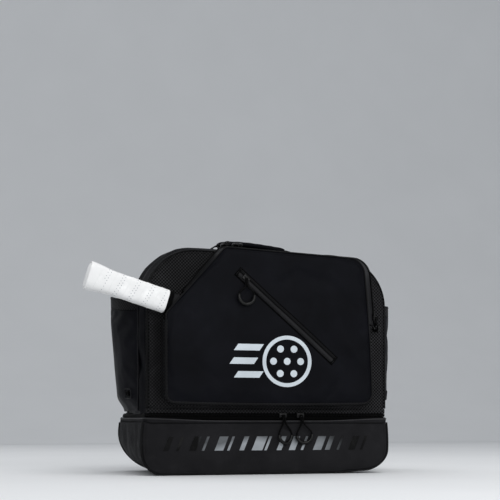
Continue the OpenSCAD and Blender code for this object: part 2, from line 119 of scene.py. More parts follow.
def arc(before, corner, after, steps):
    """Points that round off a corner (x, z, radius)."""
    c = Vector(corner[:2])
    if corner[2] == 0:
        return [c]
    u = (Vector(before[:2]) - c).normalized()
    v = (Vector(after[:2]) - c).normalized()
    half = u.angle(v) / 2
    centre = c + (u + v).normalized() * corner[2] / math.sin(half)
    arm = c + u * corner[2] / math.tan(half) - centre
    turn = math.copysign(math.pi - 2 * half, u.y * v.x - u.x * v.y)
    return [centre + Matrix.Rotation(turn * i / steps, 2) @ arm for i in range(steps + 1)]


def outline(corners, steps=12):
    """Closed outline through rounded corners, and the index of the middle of each corner."""
    points, marks = [], []
    for i, c in enumerate(corners):
        bend = arc(corners[i - 1], c, corners[(i + 1) % len(corners)], steps)
        marks.append(len(points) + len(bend) // 2)
        points += bend
    return points, marks


def lengths(points):
    """Distance along a line at each of its points."""
    out = [0.0]
    for a, b in zip(points, points[1:]):
        out.append(out[-1] + (b - a).length)
    return out


def resample(points, count):
    """The same line as count points, evenly spaced."""
    far = lengths(points)
    out, k = [], 0
    for i in range(count):
        d = far[-1] * i / (count - 1)
        while k < len(points) - 2 and far[k + 1] < d:
            k += 1
        span = far[k + 1] - far[k]
        out.append(points[k].lerp(points[k + 1], (d - far[k]) / span if span else 0.0))
    return out


def between(points, start, end):
    """Part of a closed line from one index to another, going round if it has to."""
    if end > start:
        return points[start:end + 1]
    return points[start:] + points[:end + 1]


def lift(points, y):
    """Outline points (x, z) as points in space at depth y."""
    return [Vector((p.x, y, p.y)) for p in points]


def directions(points, closed=False):
    """Unit vector along a line at each of its points."""
    n = len(points)
    found = []
    for i in range(n):
        a = points[i - 1] if closed or i else points[0]
        b = points[(i + 1) % n] if closed or i < n - 1 else points[-1]
        found.append((b - a).normalized())
    return found


def outward(points, closed=False):
    """Unit normals that point out of a line (x, z) that runs anticlockwise as seen from the front."""
    return [Vector((d.y, 0, -d.x)) for d in directions(points, closed)]


def coons(corners, across, up):
    """Grid of points (x, z) that fills an outline; its four sides meet at its first four corners."""
    points, marks = outline(corners)
    counts = (across, up, across, up)
    low, right, high, left = (resample(between(points, marks[i], marks[(i + 1) % 4]), counts[i])
                              for i in range(4))
    high, left = high[::-1], left[::-1]
    rows = []
    for j in range(up):
        t = j / (up - 1)
        row = []
        for i in range(across):
            s = i / (across - 1)
            edge = low[i].lerp(high[i], t) + left[j].lerp(right[j], s)
            flat = low[0].lerp(low[-1], s).lerp(high[0].lerp(high[-1], s), t)
            row.append(edge - flat)
        rows.append(row)
    return rows


def grid(up, across, point):
    """Rows of the points point(s, t): s runs along a row and t from row to row, both from 0 to 1."""
    return [[point(i / (across - 1), j / (up - 1)) for i in range(across)] for j in range(up)]


def shaped(rows, point):
    """The same rows with every point p turned into point(p, s, t)."""
    up, across = len(rows) - 1, len(rows[0]) - 1
    return [[point(p, i / across, j / up) for i, p in enumerate(row)] for j, row in enumerate(rows)]


def swell(s, t, power):
    """How far a panel stands out: 1 in its middle and 0 at its edges; a small power makes it boxy."""
    return (math.sin(math.pi * t) * math.sin(math.pi * s)) ** power


# ---------------------------------------------------------------- meshes

def add_object(name, mesh):
    obj = bpy.data.objects.new(name, mesh)
    SCENE.collection.objects.link(obj)
    return obj


def make_mesh(name, verts, faces, uvs, material):
    """Object from points and UV positions in millimetres."""
    mesh = bpy.data.meshes.new(name)
    mesh.from_pydata([tuple(v * MM for v in p) for p in verts], [], faces)
    if uvs:
        layer = mesh.uv_layers.new(name="UVMap")
        for loop in mesh.loops:
            layer.data[loop.index].uv = [c * MM for c in uvs[loop.vertex_index]]
    mesh.polygons.foreach_set("use_smooth", [True] * len(mesh.polygons))
    if material:
        mesh.materials.append(material)
    return add_object(name, mesh)


def sheet(name, rows, material, planar=False):
    """One-sided grid of points. Its UV map is in metres along the fabric."""
    n, m = len(rows[0]), len(rows)
    verts = [p for row in rows for p in row]
    faces = [(j * n + i, j * n + i + 1, (j + 1) * n + i + 1, (j + 1) * n + i)
             for j in range(m - 1) for i in range(n - 1)]
    if planar:
        uvs = [(p.x, p.z) for p in verts]
    else:
        along, up = lengths(rows[m // 2]), lengths([row[n // 2] for row in rows])
        uvs = [(along[i], up[j]) for j in range(m) for i in range(n)]
    return make_mesh(name, verts, faces, uvs, material)


def border(rows):
    """Vertex numbers around the edge of a sheet."""
    n, m = len(rows[0]), len(rows)
    return [j * n + i for j in range(m) for i in range(n) if i in (0, n - 1) or j in (0, m - 1)]


def bake(obj):
    """Turns the object's modifiers into its mesh."""
    bpy.context.view_layer.update()
    graph = bpy.context.evaluated_depsgraph_get()
    mesh = bpy.data.meshes.new_from_object(obj.evaluated_get(graph))
    obj.modifiers.clear()
    obj.data = mesh
    return obj


def modified(obj, kind, **settings):
    """The object after one modifier, which is baked at once."""
    mod = obj.modifiers.new(kind.lower(), kind)
    for key, value in settings.items():
        setattr(mod, key, value)
    return bake(obj)


def edited(obj, action):
    """The object after action(bm) has changed its mesh."""
    bm = bmesh.new()
    bm.from_mesh(obj.data)
    action(bm)
    bm.to_mesh(obj.data)
    bm.free()
    return obj


def thicken(obj, thickness, lining=None):
    """Gives a sheet its thickness, inwards, with a lining on the inside."""
    if lining:
        obj.data.materials.append(lining)
    return modified(obj, "SOLIDIFY", thickness=thickness * MM, offset=-1, use_even_offset=False,
                    material_offset=1 if lining else 0, material_offset_rim=0)


def refine(obj):
    """Subdivides the mesh once."""
    return modified(obj, "SUBSURF", levels=1, render_levels=1)


def bevel(obj, width, segments):
    """Rounds the edges at which the surface turns by more than SHARP_EDGE."""
    return modified(obj, "BEVEL", width=width * MM, segments=segments, limit_method="ANGLE",
                    angle_limit=SHARP_EDGE)


def cloth(obj, pins, pressure, cap, spare, bend=0.6):
    """Lets a sheet settle as fabric: pinned at its seams, a little too large, pushed from inside."""
    before = [(v.co.copy(), v.normal.copy()) for v in obj.data.vertices]
    group = obj.vertex_groups.new(name="seam")
    group.add(pins, 1.0, "REPLACE")
    mod = obj.modifiers.new("cloth", "CLOTH")
    s = mod.settings
    s.vertex_group_mass = "seam"
    s.quality = 6
    s.mass = 0.15
    s.tension_stiffness = s.compression_stiffness = 25
    s.shear_stiffness = 10
    s.bending_stiffness = bend
    s.shrink_min = s.shrink_max = -spare
    s.use_pressure = True
    s.uniform_pressure_force = pressure
    s.effector_weights.gravity = 0.0
    mod.point_cache.frame_start, mod.point_cache.frame_end = 1, CLOTH_FRAMES
    for f in range(1, CLOTH_FRAMES + 1):
        SCENE.frame_set(f)
    bake(obj)
    SCENE.frame_set(1)
    raised = [(v.co - old).dot(normal) for v, (old, normal) in zip(obj.data.vertices, before)]
    raised = relaxed(obj, raised, set(pins), 3)
    for v, height, (old, normal) in zip(obj.data.vertices, raised, before):
        v.co = old + normal * max(-cap * MM, min(cap * MM, height))
    obj.vertex_groups.clear()
    return obj


def relaxed(obj, values, fixed, rounds):
    """Evens out a value per vertex over its neighbours, so that the settled folds stay free of kinks."""
    near = [[] for _ in values]
    for edge in obj.data.edges:
        a, b = edge.vertices
        near[a].append(b)
        near[b].append(a)
    for _ in range(rounds):
        values = [value if i in fixed else (value + sum(values[k] for k in near[i]) / len(near[i])) / 2
                  for i, value in enumerate(values)]
    return values


def sides_of(path, outs, closed):
    """Sideways unit vectors along a path whose outward vectors are known."""
    return [d.cross(out).normalized() for d, out in zip(directions(path, closed), outs)]


def shell(name, sections, far, girth, material, closed=False):
    """Tube through closed sections, capped at its ends. far and girth are UV positions in millimetres."""
    n, k = len(sections), len(sections[0])
    verts = [p for section in sections for p in section]
    faces = [(i * k + j, i * k + (j + 1) % k, ((i + 1) % n) * k + (j + 1) % k, ((i + 1) % n) * k + j)
             for i in range(n if closed else n - 1) for j in range(k)]
    if not closed:
        faces += [tuple(range(k))[::-1], tuple((n - 1) * k + j for j in range(k))]
    return outside_out(make_mesh(name, verts, faces, [(a, b) for a in far for b in girth], material))


def sweep(name, path, outs, section, material, closed=False, scale=None):
    """Carries a closed section (out, side) along a path."""
    scale = scale or [1.0] * len(path)
    sections = [[p + out * a * f + side * b * f for a, b in section]
                for p, out, side, f in zip(path, outs, sides_of(path, outs, closed), scale)]
    return shell(name, sections, lengths(path), lengths([Vector(s) for s in section]), material, closed)


def outside_out(obj):
    """Turns all faces of closed shells outwards."""
    return edited(obj, lambda bm: bmesh.ops.recalc_face_normals(bm, faces=bm.faces))


def weld(obj):
    """Joins the points that lie in the same place."""
    return edited(obj, lambda bm: bmesh.ops.remove_doubles(bm, verts=bm.verts, dist=SAME_POINT))


def ring(radius, sides=8, squash=1.0):
    """Round section."""
    return [(radius * math.cos(2 * math.pi * i / sides), radius * squash * math.sin(2 * math.pi * i / sides))
            for i in range(sides)]


def tape(width, thickness):
    """Section of a flat band with soft edges: width is sideways, thickness is outwards."""
    w, t = width / 2, thickness / 2
    return [(-t, -w + t), (0, -w), (t, -w + t), (t, w - t), (0, w), (-t, w - t)]


def any_outs(path):
    """Outward vectors for a cord, which may point anywhere."""
    outs = []
    last = Vector((0.3, -0.8, 0.5)).normalized()
    for d in directions(path):
        last = (last - d * last.dot(d)).normalized()
        outs.append(last)
    return outs


def cord(name, path, radius, material, closed=False, sides=10, scale=None):
    return sweep(name, path, any_outs(path), ring(radius, sides), material, closed, scale)


def join(name, objects):
    """Makes one object out of several."""
    bm = bmesh.new()
    materials = []
    for o in objects:
        remap = []
        for m in o.data.materials:
            if m not in materials:
                materials.append(m)
            remap.append(materials.index(m))
        start = len(bm.faces)
        bm.from_mesh(o.data)
        bm.faces.ensure_lookup_table()
        for f in bm.faces[start:]:
            f.material_index = remap[f.material_index] if remap else 0
    mesh = bpy.data.meshes.new(name)
    bm.to_mesh(mesh)
    bm.free()
    for m in materials:
        mesh.materials.append(m)
    for o in objects:
        bpy.data.objects.remove(o)
    return add_object(name, mesh)


def soft_box(name, low, high, radius, material):
    """A block with rounded edges, between two corners."""
    corners = [(x, y, z) for x in (low[0], high[0]) for y in (low[1], high[1]) for z in (low[2], high[2])]
    faces = [(0, 1, 3, 2), (4, 6, 7, 5), (0, 4, 5, 1), (2, 3, 7, 6), (0, 2, 6, 4), (1, 5, 7, 3)]
    obj = outside_out(make_mesh(name, corners, faces, [(c[0], c[2] + c[1]) for c in corners], material))
    return bevel(obj, radius, 3)


def stitches(name, path, outs, material, pitch=3.6, length=2.5, radius=0.32, sink=0.12):
    """A row of separate thread stitches along a path: short rods whose ends dip into the fabric."""
    sides = 5
    stations = ((-1.0, 0.35), (-0.6, 1.0), (0.6, 1.0), (1.0, 0.35))     # place along it, share of its radius
    count = max(2, int(lengths(path)[-1] / pitch))
    fine = resample(path, count * 2)
    fine_outs = [outs[min(int(i * len(outs) / len(fine)), len(outs) - 1)] for i in range(len(fine))]
    verts, faces = [], []
    for i in range(0, len(fine) - 1, 2):
        middle = (fine[i] + fine[i + 1]) / 2
        along = (fine[i + 1] - fine[i]).normalized() * length / 2
        out = fine_outs[i]
        side = along.cross(out).normalized()
        base = len(verts)
        for step, fat in stations:
            drop = -sink if abs(step) < 0.9 else -radius - sink
            for k in range(sides):
                a = 2 * math.pi * k / sides
                verts.append(middle + along * step + out * (radius * fat * math.cos(a) + drop + radius)
                             + side * radius * fat * math.sin(a))
        for s in range(len(stations) - 1):
            for k in range(sides):
                a, b = base + s * sides + k, base + s * sides + (k + 1) % sides
                faces.append((a, b, b + sides, a + sides))
        last = base + sides * (len(stations) - 1)
        faces += [tuple(base + k for k in range(sides))[::-1], tuple(last + k for k in range(sides))]
    return outside_out(make_mesh(name, verts, faces, [(0, 0)] * len(verts), material))


def coil(name, path, outs, material, radius=1.15, wire=0.5, pitch=2.3):
    """One half of a coil zip: a flattened helix along a path."""
    steps = 8
    turns = int(lengths(path)[-1] / pitch)
    points = resample(path, turns * steps + 1)
    side = sides_of(path, outs, False)
    helix, normals = [], []
    for i, p in enumerate(points):
        k = min(int(i * len(path) / len(points)), len(path) - 1)
        a = 2 * math.pi * i / steps
        helix.append(p + outs[k] * radius * 0.8 * math.cos(a) + side[k] * radius * math.sin(a))
        normals.append(outs[k] * math.cos(a) + side[k] * math.sin(a))
    return sweep(name, helix, normals, ring(wire, 5), material)


def surface(obj):
    """Finder of the surface's depth: y of the front-most point above (x, z), in millimetres."""
    bm = bmesh.new()
    bm.from_mesh(obj.data)
    tree = BVHTree.FromBMesh(bm)
    bm.free()

    def depth(x, z, fallback):
        hit = tree.ray_cast(Vector((x, -1000, z)) * MM, Vector((0, 1, 0)))[0]
        return hit.y / MM if hit else fallback
    return depth


def conform(name, node, depth, base, material, raise_by=0.3, edge=5.0):
    """A thin printed CAD plate laid on a curved surface; base is its depth where the surface has a gap."""
    bm = bmesh.new()
    bm.from_mesh(frame["nodes"][node].data)
    for _ in range(5):
        long_edges = [e for e in bm.edges if e.calc_length() > edge * MM]
        if not long_edges:
            break
        bmesh.ops.subdivide_edges(bm, edges=long_edges, cuts=1)
        bmesh.ops.triangulate(bm, faces=[f for f in bm.faces if len(f.verts) > 3])
    front = min(v.co.y for v in bm.verts) / MM
    for v in bm.verts:
        x, y, z = v.co / MM
        back = (y - front) > 0.1
        v.co.y = (depth(x, z, base) + (0.15 if back else -raise_by)) * MM
    mesh = bpy.data.meshes.new(name)
    bm.to_mesh(mesh)
    bm.free()
    layer = mesh.uv_layers.new(name="UVMap")
    for loop in mesh.loops:
        co = mesh.vertices[loop.vertex_index].co
        layer.data[loop.index].uv = (co.x, co.z)
    mesh.materials.append(material)
    return add_object(name, mesh)


def piece(obj, body, slot, *nodes):
    """Puts a finished piece on its body, in place of CAD nodes."""
    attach(obj, body)
    if nodes:
        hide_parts(*nodes)


# ---------------------------------------------------------------- materials

class Nodes:
    """Short way to write a node tree."""

    def __init__(self, name):
        self.material = bpy.data.materials.new(name)
        self.material.use_nodes = True
        self.tree = self.material.node_tree
        self.shader = self.tree.nodes["Principled BSDF"]

    def add(self, kind, inputs=None, **settings):
        node = self.tree.nodes.new(kind)
        for key, value in settings.items():
            setattr(node, key, value)
        for key, value in (inputs or {}).items():
            self.put(node.inputs[key], value)
        return node

    def put(self, socket, value):
        if isinstance(value, bpy.types.NodeSocket):
            self.tree.links.new(value, socket)
        else:
            socket.default_value = value

    def math(self, operation, a, b=0.0):
        return self.add("ShaderNodeMath", {0: a, 1: b}, operation=operation).outputs[0]

    def noise(self, vector, scale, detail=2.0):
        node = self.add("ShaderNodeTexNoise", {"Scale": scale, "Detail": detail})
        self.put(node.inputs["Vector"], vector)
        return node.outputs["Fac"]

    def span(self, value, low, high, out_low, out_high):
        node = self.add("ShaderNodeMapRange", {0: value, 1: low, 2: high, 3: out_low, 4: out_high})
        return node.outputs[0]

    def tone(self, colour, factor):
        """The colour times a factor."""
        node = self.add("ShaderNodeVectorMath", {0: colour[:3]}, operation="SCALE")
        self.put(node.inputs["Scale"], factor)
        return node.outputs[0]

    def bump(self, height, distance, strength=1.0, under=None):
        node = self.add("ShaderNodeBump", {"Height": height, "Distance": distance * MM, "Strength": strength})
        if under:
            self.put(node.inputs["Normal"], under)
        return node.outputs[0]

    def set(self, **values):
        for key, value in values.items():
            self.put(self.shader.inputs[key.replace("_", " ")], value)
        return self.material


def weave_height(n, u, v, pattern):
    """Height from 0 to 1 of a fabric's threads; u and v count threads."""
    def times(a, b):
        return n.math("MULTIPLY", a, b)

    def wave(value):
        return n.math("SINE", times(value, 2 * math.pi))
    if pattern == "basket":
        return n.span(times(wave(times(u, 0.5)), wave(times(v, 0.5))), -0.4, 0.6, 0.0, 1.0)
    if pattern == "twill":
        diagonal = wave(n.math("ADD", u, v))
        return n.span(n.math("ADD", diagonal, times(wave(times(u, 2.0)), 0.3)), -1.3, 1.3, 0.0, 1.0)
    if pattern == "ribs":
        chevron = n.math("ADD", u, n.math("PINGPONG", v, 1.0))
        return n.span(wave(chevron), -1.0, 1.0, 0.0, 1.0)
    if pattern == "mesh":
        return times(n.math("ABSOLUTE", wave(times(u, 0.5))), n.math("ABSOLUTE", wave(times(v, 0.5))))
    return n.span(n.math("ADD", wave(u), wave(v)), -2.0, 2.0, 0.0, 1.0)


def fabric(name, colour, pattern, pitch, roughness, relief, contrast=0.3, sheen=0.1, gloss=0.35, cloud=0.25):
    """Woven or knitted fabric: threads of the given pitch, cloudy tone, sheen and faint rubbing marks."""
    n = Nodes(name)
    coords = n.add("ShaderNodeTexCoord")
    uv = n.add("ShaderNodeSeparateXYZ", {0: coords.outputs["UV"]})
    u = n.math("MULTIPLY", uv.outputs[0], 1 / (pitch * MM))
    v = n.math("MULTIPLY", uv.outputs[1], 1 / (pitch * MM))
    height = weave_height(n, u, v, pattern)
    where = coords.outputs["Object"]
    broad = n.noise(where, 14.0, 3.0)
    fine = n.noise(where, 1400.0, 2.0)
    rubbed = n.span(n.noise(where, 55.0, 6.0), 0.56, 0.72, 0.0, 1.0)
    tone = n.math("MULTIPLY", n.span(height, 0.0, 1.0, 1 - contrast, 1 + contrast),
                  n.span(broad, 0.3, 0.7, 1 - cloud, 1 + cloud))
    tone = n.math("ADD", tone, n.math("MULTIPLY", rubbed, 0.12))
    under = n.bump(fine, 0.12, 0.35)
    return n.set(Base_Color=n.tone(colour, tone),
                 Roughness=n.span(n.math("ADD", height, rubbed), 0.0, 2.0,
                                  roughness + 0.06, roughness - 0.08),
                 Normal=n.bump(height, relief, 0.8, under),
                 Sheen_Weight=sheen, Sheen_Roughness=0.45, Specular_IOR_Level=gloss)


def plastic(name, colour, roughness, grain=0.03, scale=900.0, gloss=0.5, metal=0.0):
    """Moulded plastic, rubber, enamel or film: fine grain, uneven gloss and small scuffs."""
    n = Nodes(name)
    where = n.add("ShaderNodeTexCoord").outputs["Object"]
    fine, broad = n.noise(where, scale, 3.0), n.noise(where, 40.0, 3.0)
    scuffs = n.span(n.noise(where, 190.0, 8.0), 0.6, 0.7, 0.0, 1.0)
    tone = n.math("ADD", n.span(broad, 0.3, 0.7, 0.88, 1.12), n.math("MULTIPLY", scuffs, 0.15))
    return n.set(Base_Color=n.tone(colour, tone), Metallic=metal,
                 Roughness=n.math("ADD", n.span(broad, 0.3, 0.7, roughness - 0.05, roughness + 0.05),
                                  n.math("MULTIPLY", scuffs, 0.15)),
                 Normal=n.bump(fine, grain), Specular_IOR_Level=gloss)


def carbon(name):
    """Paddle face: fine crossed fibres under a gritty coat."""
    n = Nodes(name)
    where = n.add("ShaderNodeTexCoord").outputs["Object"]
    part = n.add("ShaderNodeSeparateXYZ", {0: where})
    u = n.math("MULTIPLY", part.outputs[0], 500.0)
    v = n.math("MULTIPLY", part.outputs[2], 500.0)
    height = weave_height(n, u, v, "twill")
    grit = n.noise(where, 2500.0, 2.0)
    return n.set(Base_Color=n.tone((0.01, 0.01, 0.011), n.span(height, 0, 1, 0.7, 1.4)),
                 Roughness=n.span(grit, 0.3, 0.7, 0.5, 0.7), Specular_IOR_Level=0.12,
                 Normal=n.bump(grit, 0.08, 0.6, n.bump(height, 0.1)))


def reflective(name, colour):
    """Reflective transfer: pale film with a fine bead texture and a soft drift of tone."""
    n = Nodes(name)
    where = n.add("ShaderNodeTexCoord").outputs["Object"]
    beads, drift = n.noise(where, 2200.0, 1.0), n.noise(where, 18.0, 2.0)
    return n.set(Base_Color=n.tone(colour, n.span(drift, 0.3, 0.7, 0.9, 1.08)), Metallic=0.15,
                 Roughness=n.span(beads, 0.3, 0.7, 0.38, 0.52), Normal=n.bump(beads, 0.04))


def print_with_painted_highlight(name, dark, light, middle, reach):
    """Gloss film, black towards its ends, with a silver highlight painted into its colour across the middle
    of the bag, strongest towards its lower edge.
    """
    n = Nodes(name)
    where = n.add("ShaderNodeTexCoord").outputs["Object"]
    part = n.add("ShaderNodeSeparateXYZ", {0: where})
    drift = n.math("MULTIPLY", n.math("SUBTRACT", n.noise(where, 16.0, 1.0), 0.5), 0.12)
    along = n.math("ADD", part.outputs[0], drift)
    # painted highlight: the colour turns silver near the middle of the bag and towards the print's lower edge
    away = n.math("ABSOLUTE", n.math("SUBTRACT", along, middle * MM))
    lower = n.span(n.math("ADD", part.outputs[2], n.math("MULTIPLY", drift, 0.3)), 0.058, 0.046, 0.35, 1.0)
    painted_highlight = n.math("MULTIPLY", n.span(away, reach * MM, reach * 0.45 * MM, 0.0, 1.0), lower)
    mixer = n.add("ShaderNodeMix", {"Factor": painted_highlight}, data_type="RGBA")
    n.put(mixer.inputs[6], (*dark, 1.0))
    n.put(mixer.inputs[7], (*light, 1.0))
    return n.set(Base_Color=mixer.outputs[2],
                 Roughness=n.span(n.noise(where, 300.0, 2.0), 0.3, 0.7, 0.22, 0.3),
                 Normal=n.bump(n.noise(where, 700.0, 2.0), 0.03), Specular_IOR_Level=0.06)


# fabric: colour, weave, pitch in mm, roughness, relief in mm, contrast, sheen, gloss, cloudiness
# plastic: colour, roughness, grain in mm, grain scale, gloss, metal
# painted shade: the paddle pocket's softshell is the side pockets' fabric (POCKET) made darker
SOFTSHELL_PAINTED_SHADE = fabric("softshell", (0.0031, 0.0033, 0.0048), "plain", 0.45, 0.46, 0.03, 0.06, 0.0, 0.04, 0.3)
POCKET = fabric("pocket_softshell", (0.005, 0.0051, 0.0068), "plain", 0.45, 0.46, 0.03, 0.06, 0.0, 0.04, 0.3)
WOVEN = fabric("ballistic_weave", (0.0135, 0.0134, 0.0143), "basket", 2.6, 0.5, 0.7, 1.0, 0.0, 0.05, 0.3)
SIDE = fabric("side_twill", (0.0045, 0.0046, 0.006), "twill", 0.9, 0.46, 0.04, 0.1, 0.0, 0.02)
TUB = fabric("tub_nylon", (0.0138, 0.0136, 0.0148), "twill", 0.9, 0.5, 0.06, 0.14, 0.0, 0.012, 0.2)
LINING = fabric("lining", (0.02, 0.02, 0.022), "plain", 0.8, 0.55, 0.06, 0.15, 0.04, 0.2)
WEBBING = fabric("webbing", (0.0065, 0.0065, 0.0068), "ribs", 1.6, 0.6, 0.3, 0.5, 0.0, 0.06)
BINDING = fabric("binding", (0.0065, 0.0065, 0.007), "ribs", 1.1, 0.5, 0.12, 0.3, 0.0, 0.06)
# lip edge: painted lighter, as the highlight along the storm band's crest
LIP_EDGE_PAINTED_HIGHLIGHT = fabric("lip_edge_painted_highlight", (0.036, 0.036, 0.038), "ribs", 0.9, 0.45, 0.1, 0.2, 0.0, 0.15)
# binding painted lighter, as a highlight on rolled edges
HEM_PAINTED_HIGHLIGHT = fabric("rolled_hem_painted_highlight", (0.013, 0.013, 0.0145), "ribs", 0.9, 0.45, 0.1, 0.2, 0.0, 0.06)
# coated fabric, glossier and also painted lighter, so that it reads as a highlight where light from above
# catches it
COATED_PAINTED_HIGHLIGHT = fabric("coated_gusset_painted_highlight", (0.013, 0.013, 0.014), "plain", 0.7, 0.42, 0.03, 0.08, 0.0, 0.06)
AIRMESH = fabric("air_mesh", (0.009, 0.009, 0.0098), "mesh", 3.0, 0.75, 0.9, 0.8, 0.01, 0.05)
THREAD = fabric("thread", (0.009, 0.009, 0.0095), "ribs", 0.5, 0.5, 0.05, 0.2, 0.0, 0.05)
ZIPPER = plastic("zip_coil", (0.002, 0.002, 0.0022), 0.35, gloss=0.12)
ZIP_FILM = plastic("zip_film", (0.0048, 0.0048, 0.0053), 0.38, 0.05, 500.0, 0.05)
METAL = plastic("slider_enamel", (0.002, 0.002, 0.0022), 0.28, 0.02, 400.0, 0.2)
BARE_METAL = plastic("slider_bare", (0.5, 0.5, 0.52), 0.3, 0.02, 400.0, 0.6, 0.9)
CORD = fabric("cord", (0.0015, 0.0015, 0.0016), "ribs", 0.8, 0.5, 0.15, 0.3, 0.0, 0.06)
SLEEVE = plastic("pull_sleeve", (0.0015, 0.0015, 0.0016), 0.3, gloss=0.22)
BUCKLE = plastic("buckle", (0.008, 0.008, 0.0085), 0.35)
SHEET = plastic("stiffener", (0.05, 0.05, 0.052), 0.5)
RUBBER = plastic("rubber", (0.0012, 0.0012, 0.0013), 0.5, gloss=0.02)
GRIP = fabric("overgrip", (0.78, 0.78, 0.775), "plain", 1.3, 0.6, 0.03, 0.02, 0.05, 0.3, 0.02)
GRIP_EDGE = plastic("grip_perforation", (0.2, 0.22, 0.25), 0.7)
CAP = plastic("butt_cap", (0.92, 0.92, 0.91), 0.45)
FACE = carbon("paddle_face")
BADGE = reflective("badge_film", (0.5, 0.55, 0.59))
# the print's silver across the middle of the bag is a painted highlight
PRINT_WITH_PAINTED_HIGHLIGHT = print_with_painted_highlight("gloss_print_painted_highlight", (0.0035, 0.0035, 0.0036), (0.3, 0.32, 0.34), 5, 125)


# ---------------------------------------------------------------- main shapes

TUB_LOW, TUB_HIGH = box("tub_gusset")
RIM_LOW, RIM_HIGH = box("storm_band")
DOOR_LOW, DOOR_HIGH = box("door_piping")
FLAP_LOW, FLAP_HIGH = box("flap_piping")
BACK_HIGH = box("back_panel")[1]
GUSSET_LOW = box("main_gusset")[0]
FACE_Y = box("tub_front")[0].y                 # outer face of the door and the tub
FLAP_Y = box("flap_panel")[0].y                # outer face of the paddle pocket
FLAP_SEAM_Y = FLAP_Y + 1.6                     # where its face meets its walls
ZIP_Z = joint("body_tilt").z                   # line of the shoe zip
BACK_Y = joint("body_tilt").y                  # back face at its foot
BODY_Z = GUSSET_LOW.z
DOOR_R, BACK_R = 75, 100                       # corner radii
TUB_R, TUB_BACK_R = 32, 70
LEAN = math.radians(6.7)                       # of the back, towards the front
FOOT = Vector((0, BACK_Y, BODY_Z))


def leaning(p):
    """From the frame in which the back stands straight to the leaning back."""
    return Matrix.Rotation(LEAN, 3, "X") @ (Vector(p) - FOOT) + FOOT


def tub_corners(inset=0.0, r=TUB_R):
    """Corners of the tub's front outline, anticlockwise from the left foot."""
    w = TUB_HIGH.x - inset
    return [(-w - 1.5, TUB_LOW.z + inset, r - inset), (w - 2.5, TUB_LOW.z + inset, r + 4 - inset),
            (w - 2.5, TUB_HIGH.z, 0), (-w - 1.5, TUB_HIGH.z, 0)]


def tub_bulge(points, amount):
    """Pushes the tub's sides outwards; the widest place is half way up to a little above its rim."""
    return bulged(points, TUB_LOW.z, TUB_HIGH.z + 14, amount)


def tub_back_edge(count):
    """Back seam of the tub, which has rounder corners."""
    return tub_bulge(open_outline(tub_corners(0, TUB_BACK_R), 3, 2, count)[::-1], 4.5)


def tub_shape(points):
    """Stuffed shape of the tub's front outline: its floor lifts a little at the right."""
    out = []
    for p in tub_bulge(points, 3.5):
        near_floor = 1 - smooth((p.y - TUB_LOW.z) / 50)
        out.append(Vector((p.x, p.y + 5.5 * smooth((p.x - 70) / 110) * near_floor)))
    return out


def door_corners(inset=0.0, low=None):
    """Corners of the door's outline; low is the height of its foot when it is not the door's own."""
    w = DOOR_HIGH.x - inset
    low = DOOR_LOW.z if low is None else low
    return [(-w, low, 0), (w, low, 0), (w - 1, DOOR_HIGH.z - 4 - inset, DOOR_R + 4 - inset),
            (-w, DOOR_HIGH.z - inset, DOOR_R - inset)]


def flap_corners(inset=0.0, slope=0.0):
    """Five corners of the paddle pocket: its left top corner is cut off where the handle comes out."""
    left, right = FLAP_LOW.x + 1.5, FLAP_HIGH.x - 4.5 + slope
    low, high = FLAP_LOW.z + 1.5, FLAP_HIGH.z - 1.5
    return [(left + inset, low + inset, 14 - inset), (right - inset, low + inset, 16 - inset),
            (right - 15 - inset, high - 10 - inset, 26 - inset), (-80 + inset * 0.4, high - inset, 9 - inset),
            (left + inset, 248 - inset * 0.4, 12 - inset)]


def flap_sag(p):
    """The bottom edge hangs a little in the middle, and the right edge bows outwards."""
    middle = 1 - (p.x / 170) ** 2
    hang = -2.2 * clamp(middle) * (1 - smooth((p.y - FLAP_LOW.z) / 60))
    bow = 2.4 * math.sin(math.pi * clamp((p.y - FLAP_LOW.z) / 225)) * smooth((p.x - 90) / 50)
    return Vector((p.x + bow, p.y + hang))


def open_outline(corners, first, last, count):
    """The stretch of an outline from one corner to another, evenly spaced."""
    points, marks = outline(corners)
    return resample(between(points, marks[first], marks[last]), count)


def bulged(points, low, high, amount):
    """Pushes the sides of an outline outwards between two heights."""
    out = []
    for p in points:
        t = clamp((p.y - low) / (high - low))
        push = math.copysign(amount * math.sin(math.pi * t), p.x) * min(1, abs(p.x) / 150)
        out.append(Vector((p.x + push, p.y)))
    return out


# ---------------------------------------------------------------- shoe compartment

def side_wall(y):
    """Half width of the body at its foot."""
    return 197 + 6 * clamp((y + 97) / 57) if y < -40 else 203 - (y + 40) * 0.095


def tub_edge(count, inset=0.0):
    """Front seam of the tub from its right top corner round the bottom to its left top corner."""
    return tub_shape(open_outline(tub_corners(inset), 3, 2, count)[::-1])


def tub_folds(p):
    """Slanted folds that hang from the zip left of the middle, over a slack, softly dented panel."""
    near_top = smooth((p.y - 22) / 45)
    spread = math.exp(-((p.x + 78) / 62) ** 2)
    slanted = math.sin((p.x * 0.62 - p.y * 1.05) / 7.0 + 0.8 * rough((p.x, 0, p.y), 50, 31.0))
    dents = rough((p.x, 0, p.y * 1.3), 58, 17.0) * 1.0 + rough((p.x, 0, p.y), 21, 29.0) * 0.25
    return 1.15 * slanted * spread * near_top + dents


def tub_front():
    """Slack front panel of the tub, with the printed bars on it."""
    def point(p, s, t):
        full = swell(s, t, 0.45)
        return Vector((p.x, FACE_Y - 2.6 * full + tub_folds(p) * full, p.y))
    rows = shaped([tub_shape(row) for row in coons(tub_corners(1.5), 132, 34)], point)
    obj = sheet("tub_front_fabric", rows, TUB, planar=True)
    cloth(obj, border(rows), 1.2, 1.6, spare=0.012, bend=0.3)
    depth = surface(obj)
    piece(thicken(obj, 2.0, LINING), "shoe_compartment", "tub_fabric", "tub_front")
    # the print's silver middle is a painted highlight
    print_bars = conform("tub_print_bars", "tub_print", depth, FACE_Y, PRINT_WITH_PAINTED_HIGHLIGHT, 0.6)
    piece(print_bars, "shoe_compartment", "print", "tub_print")


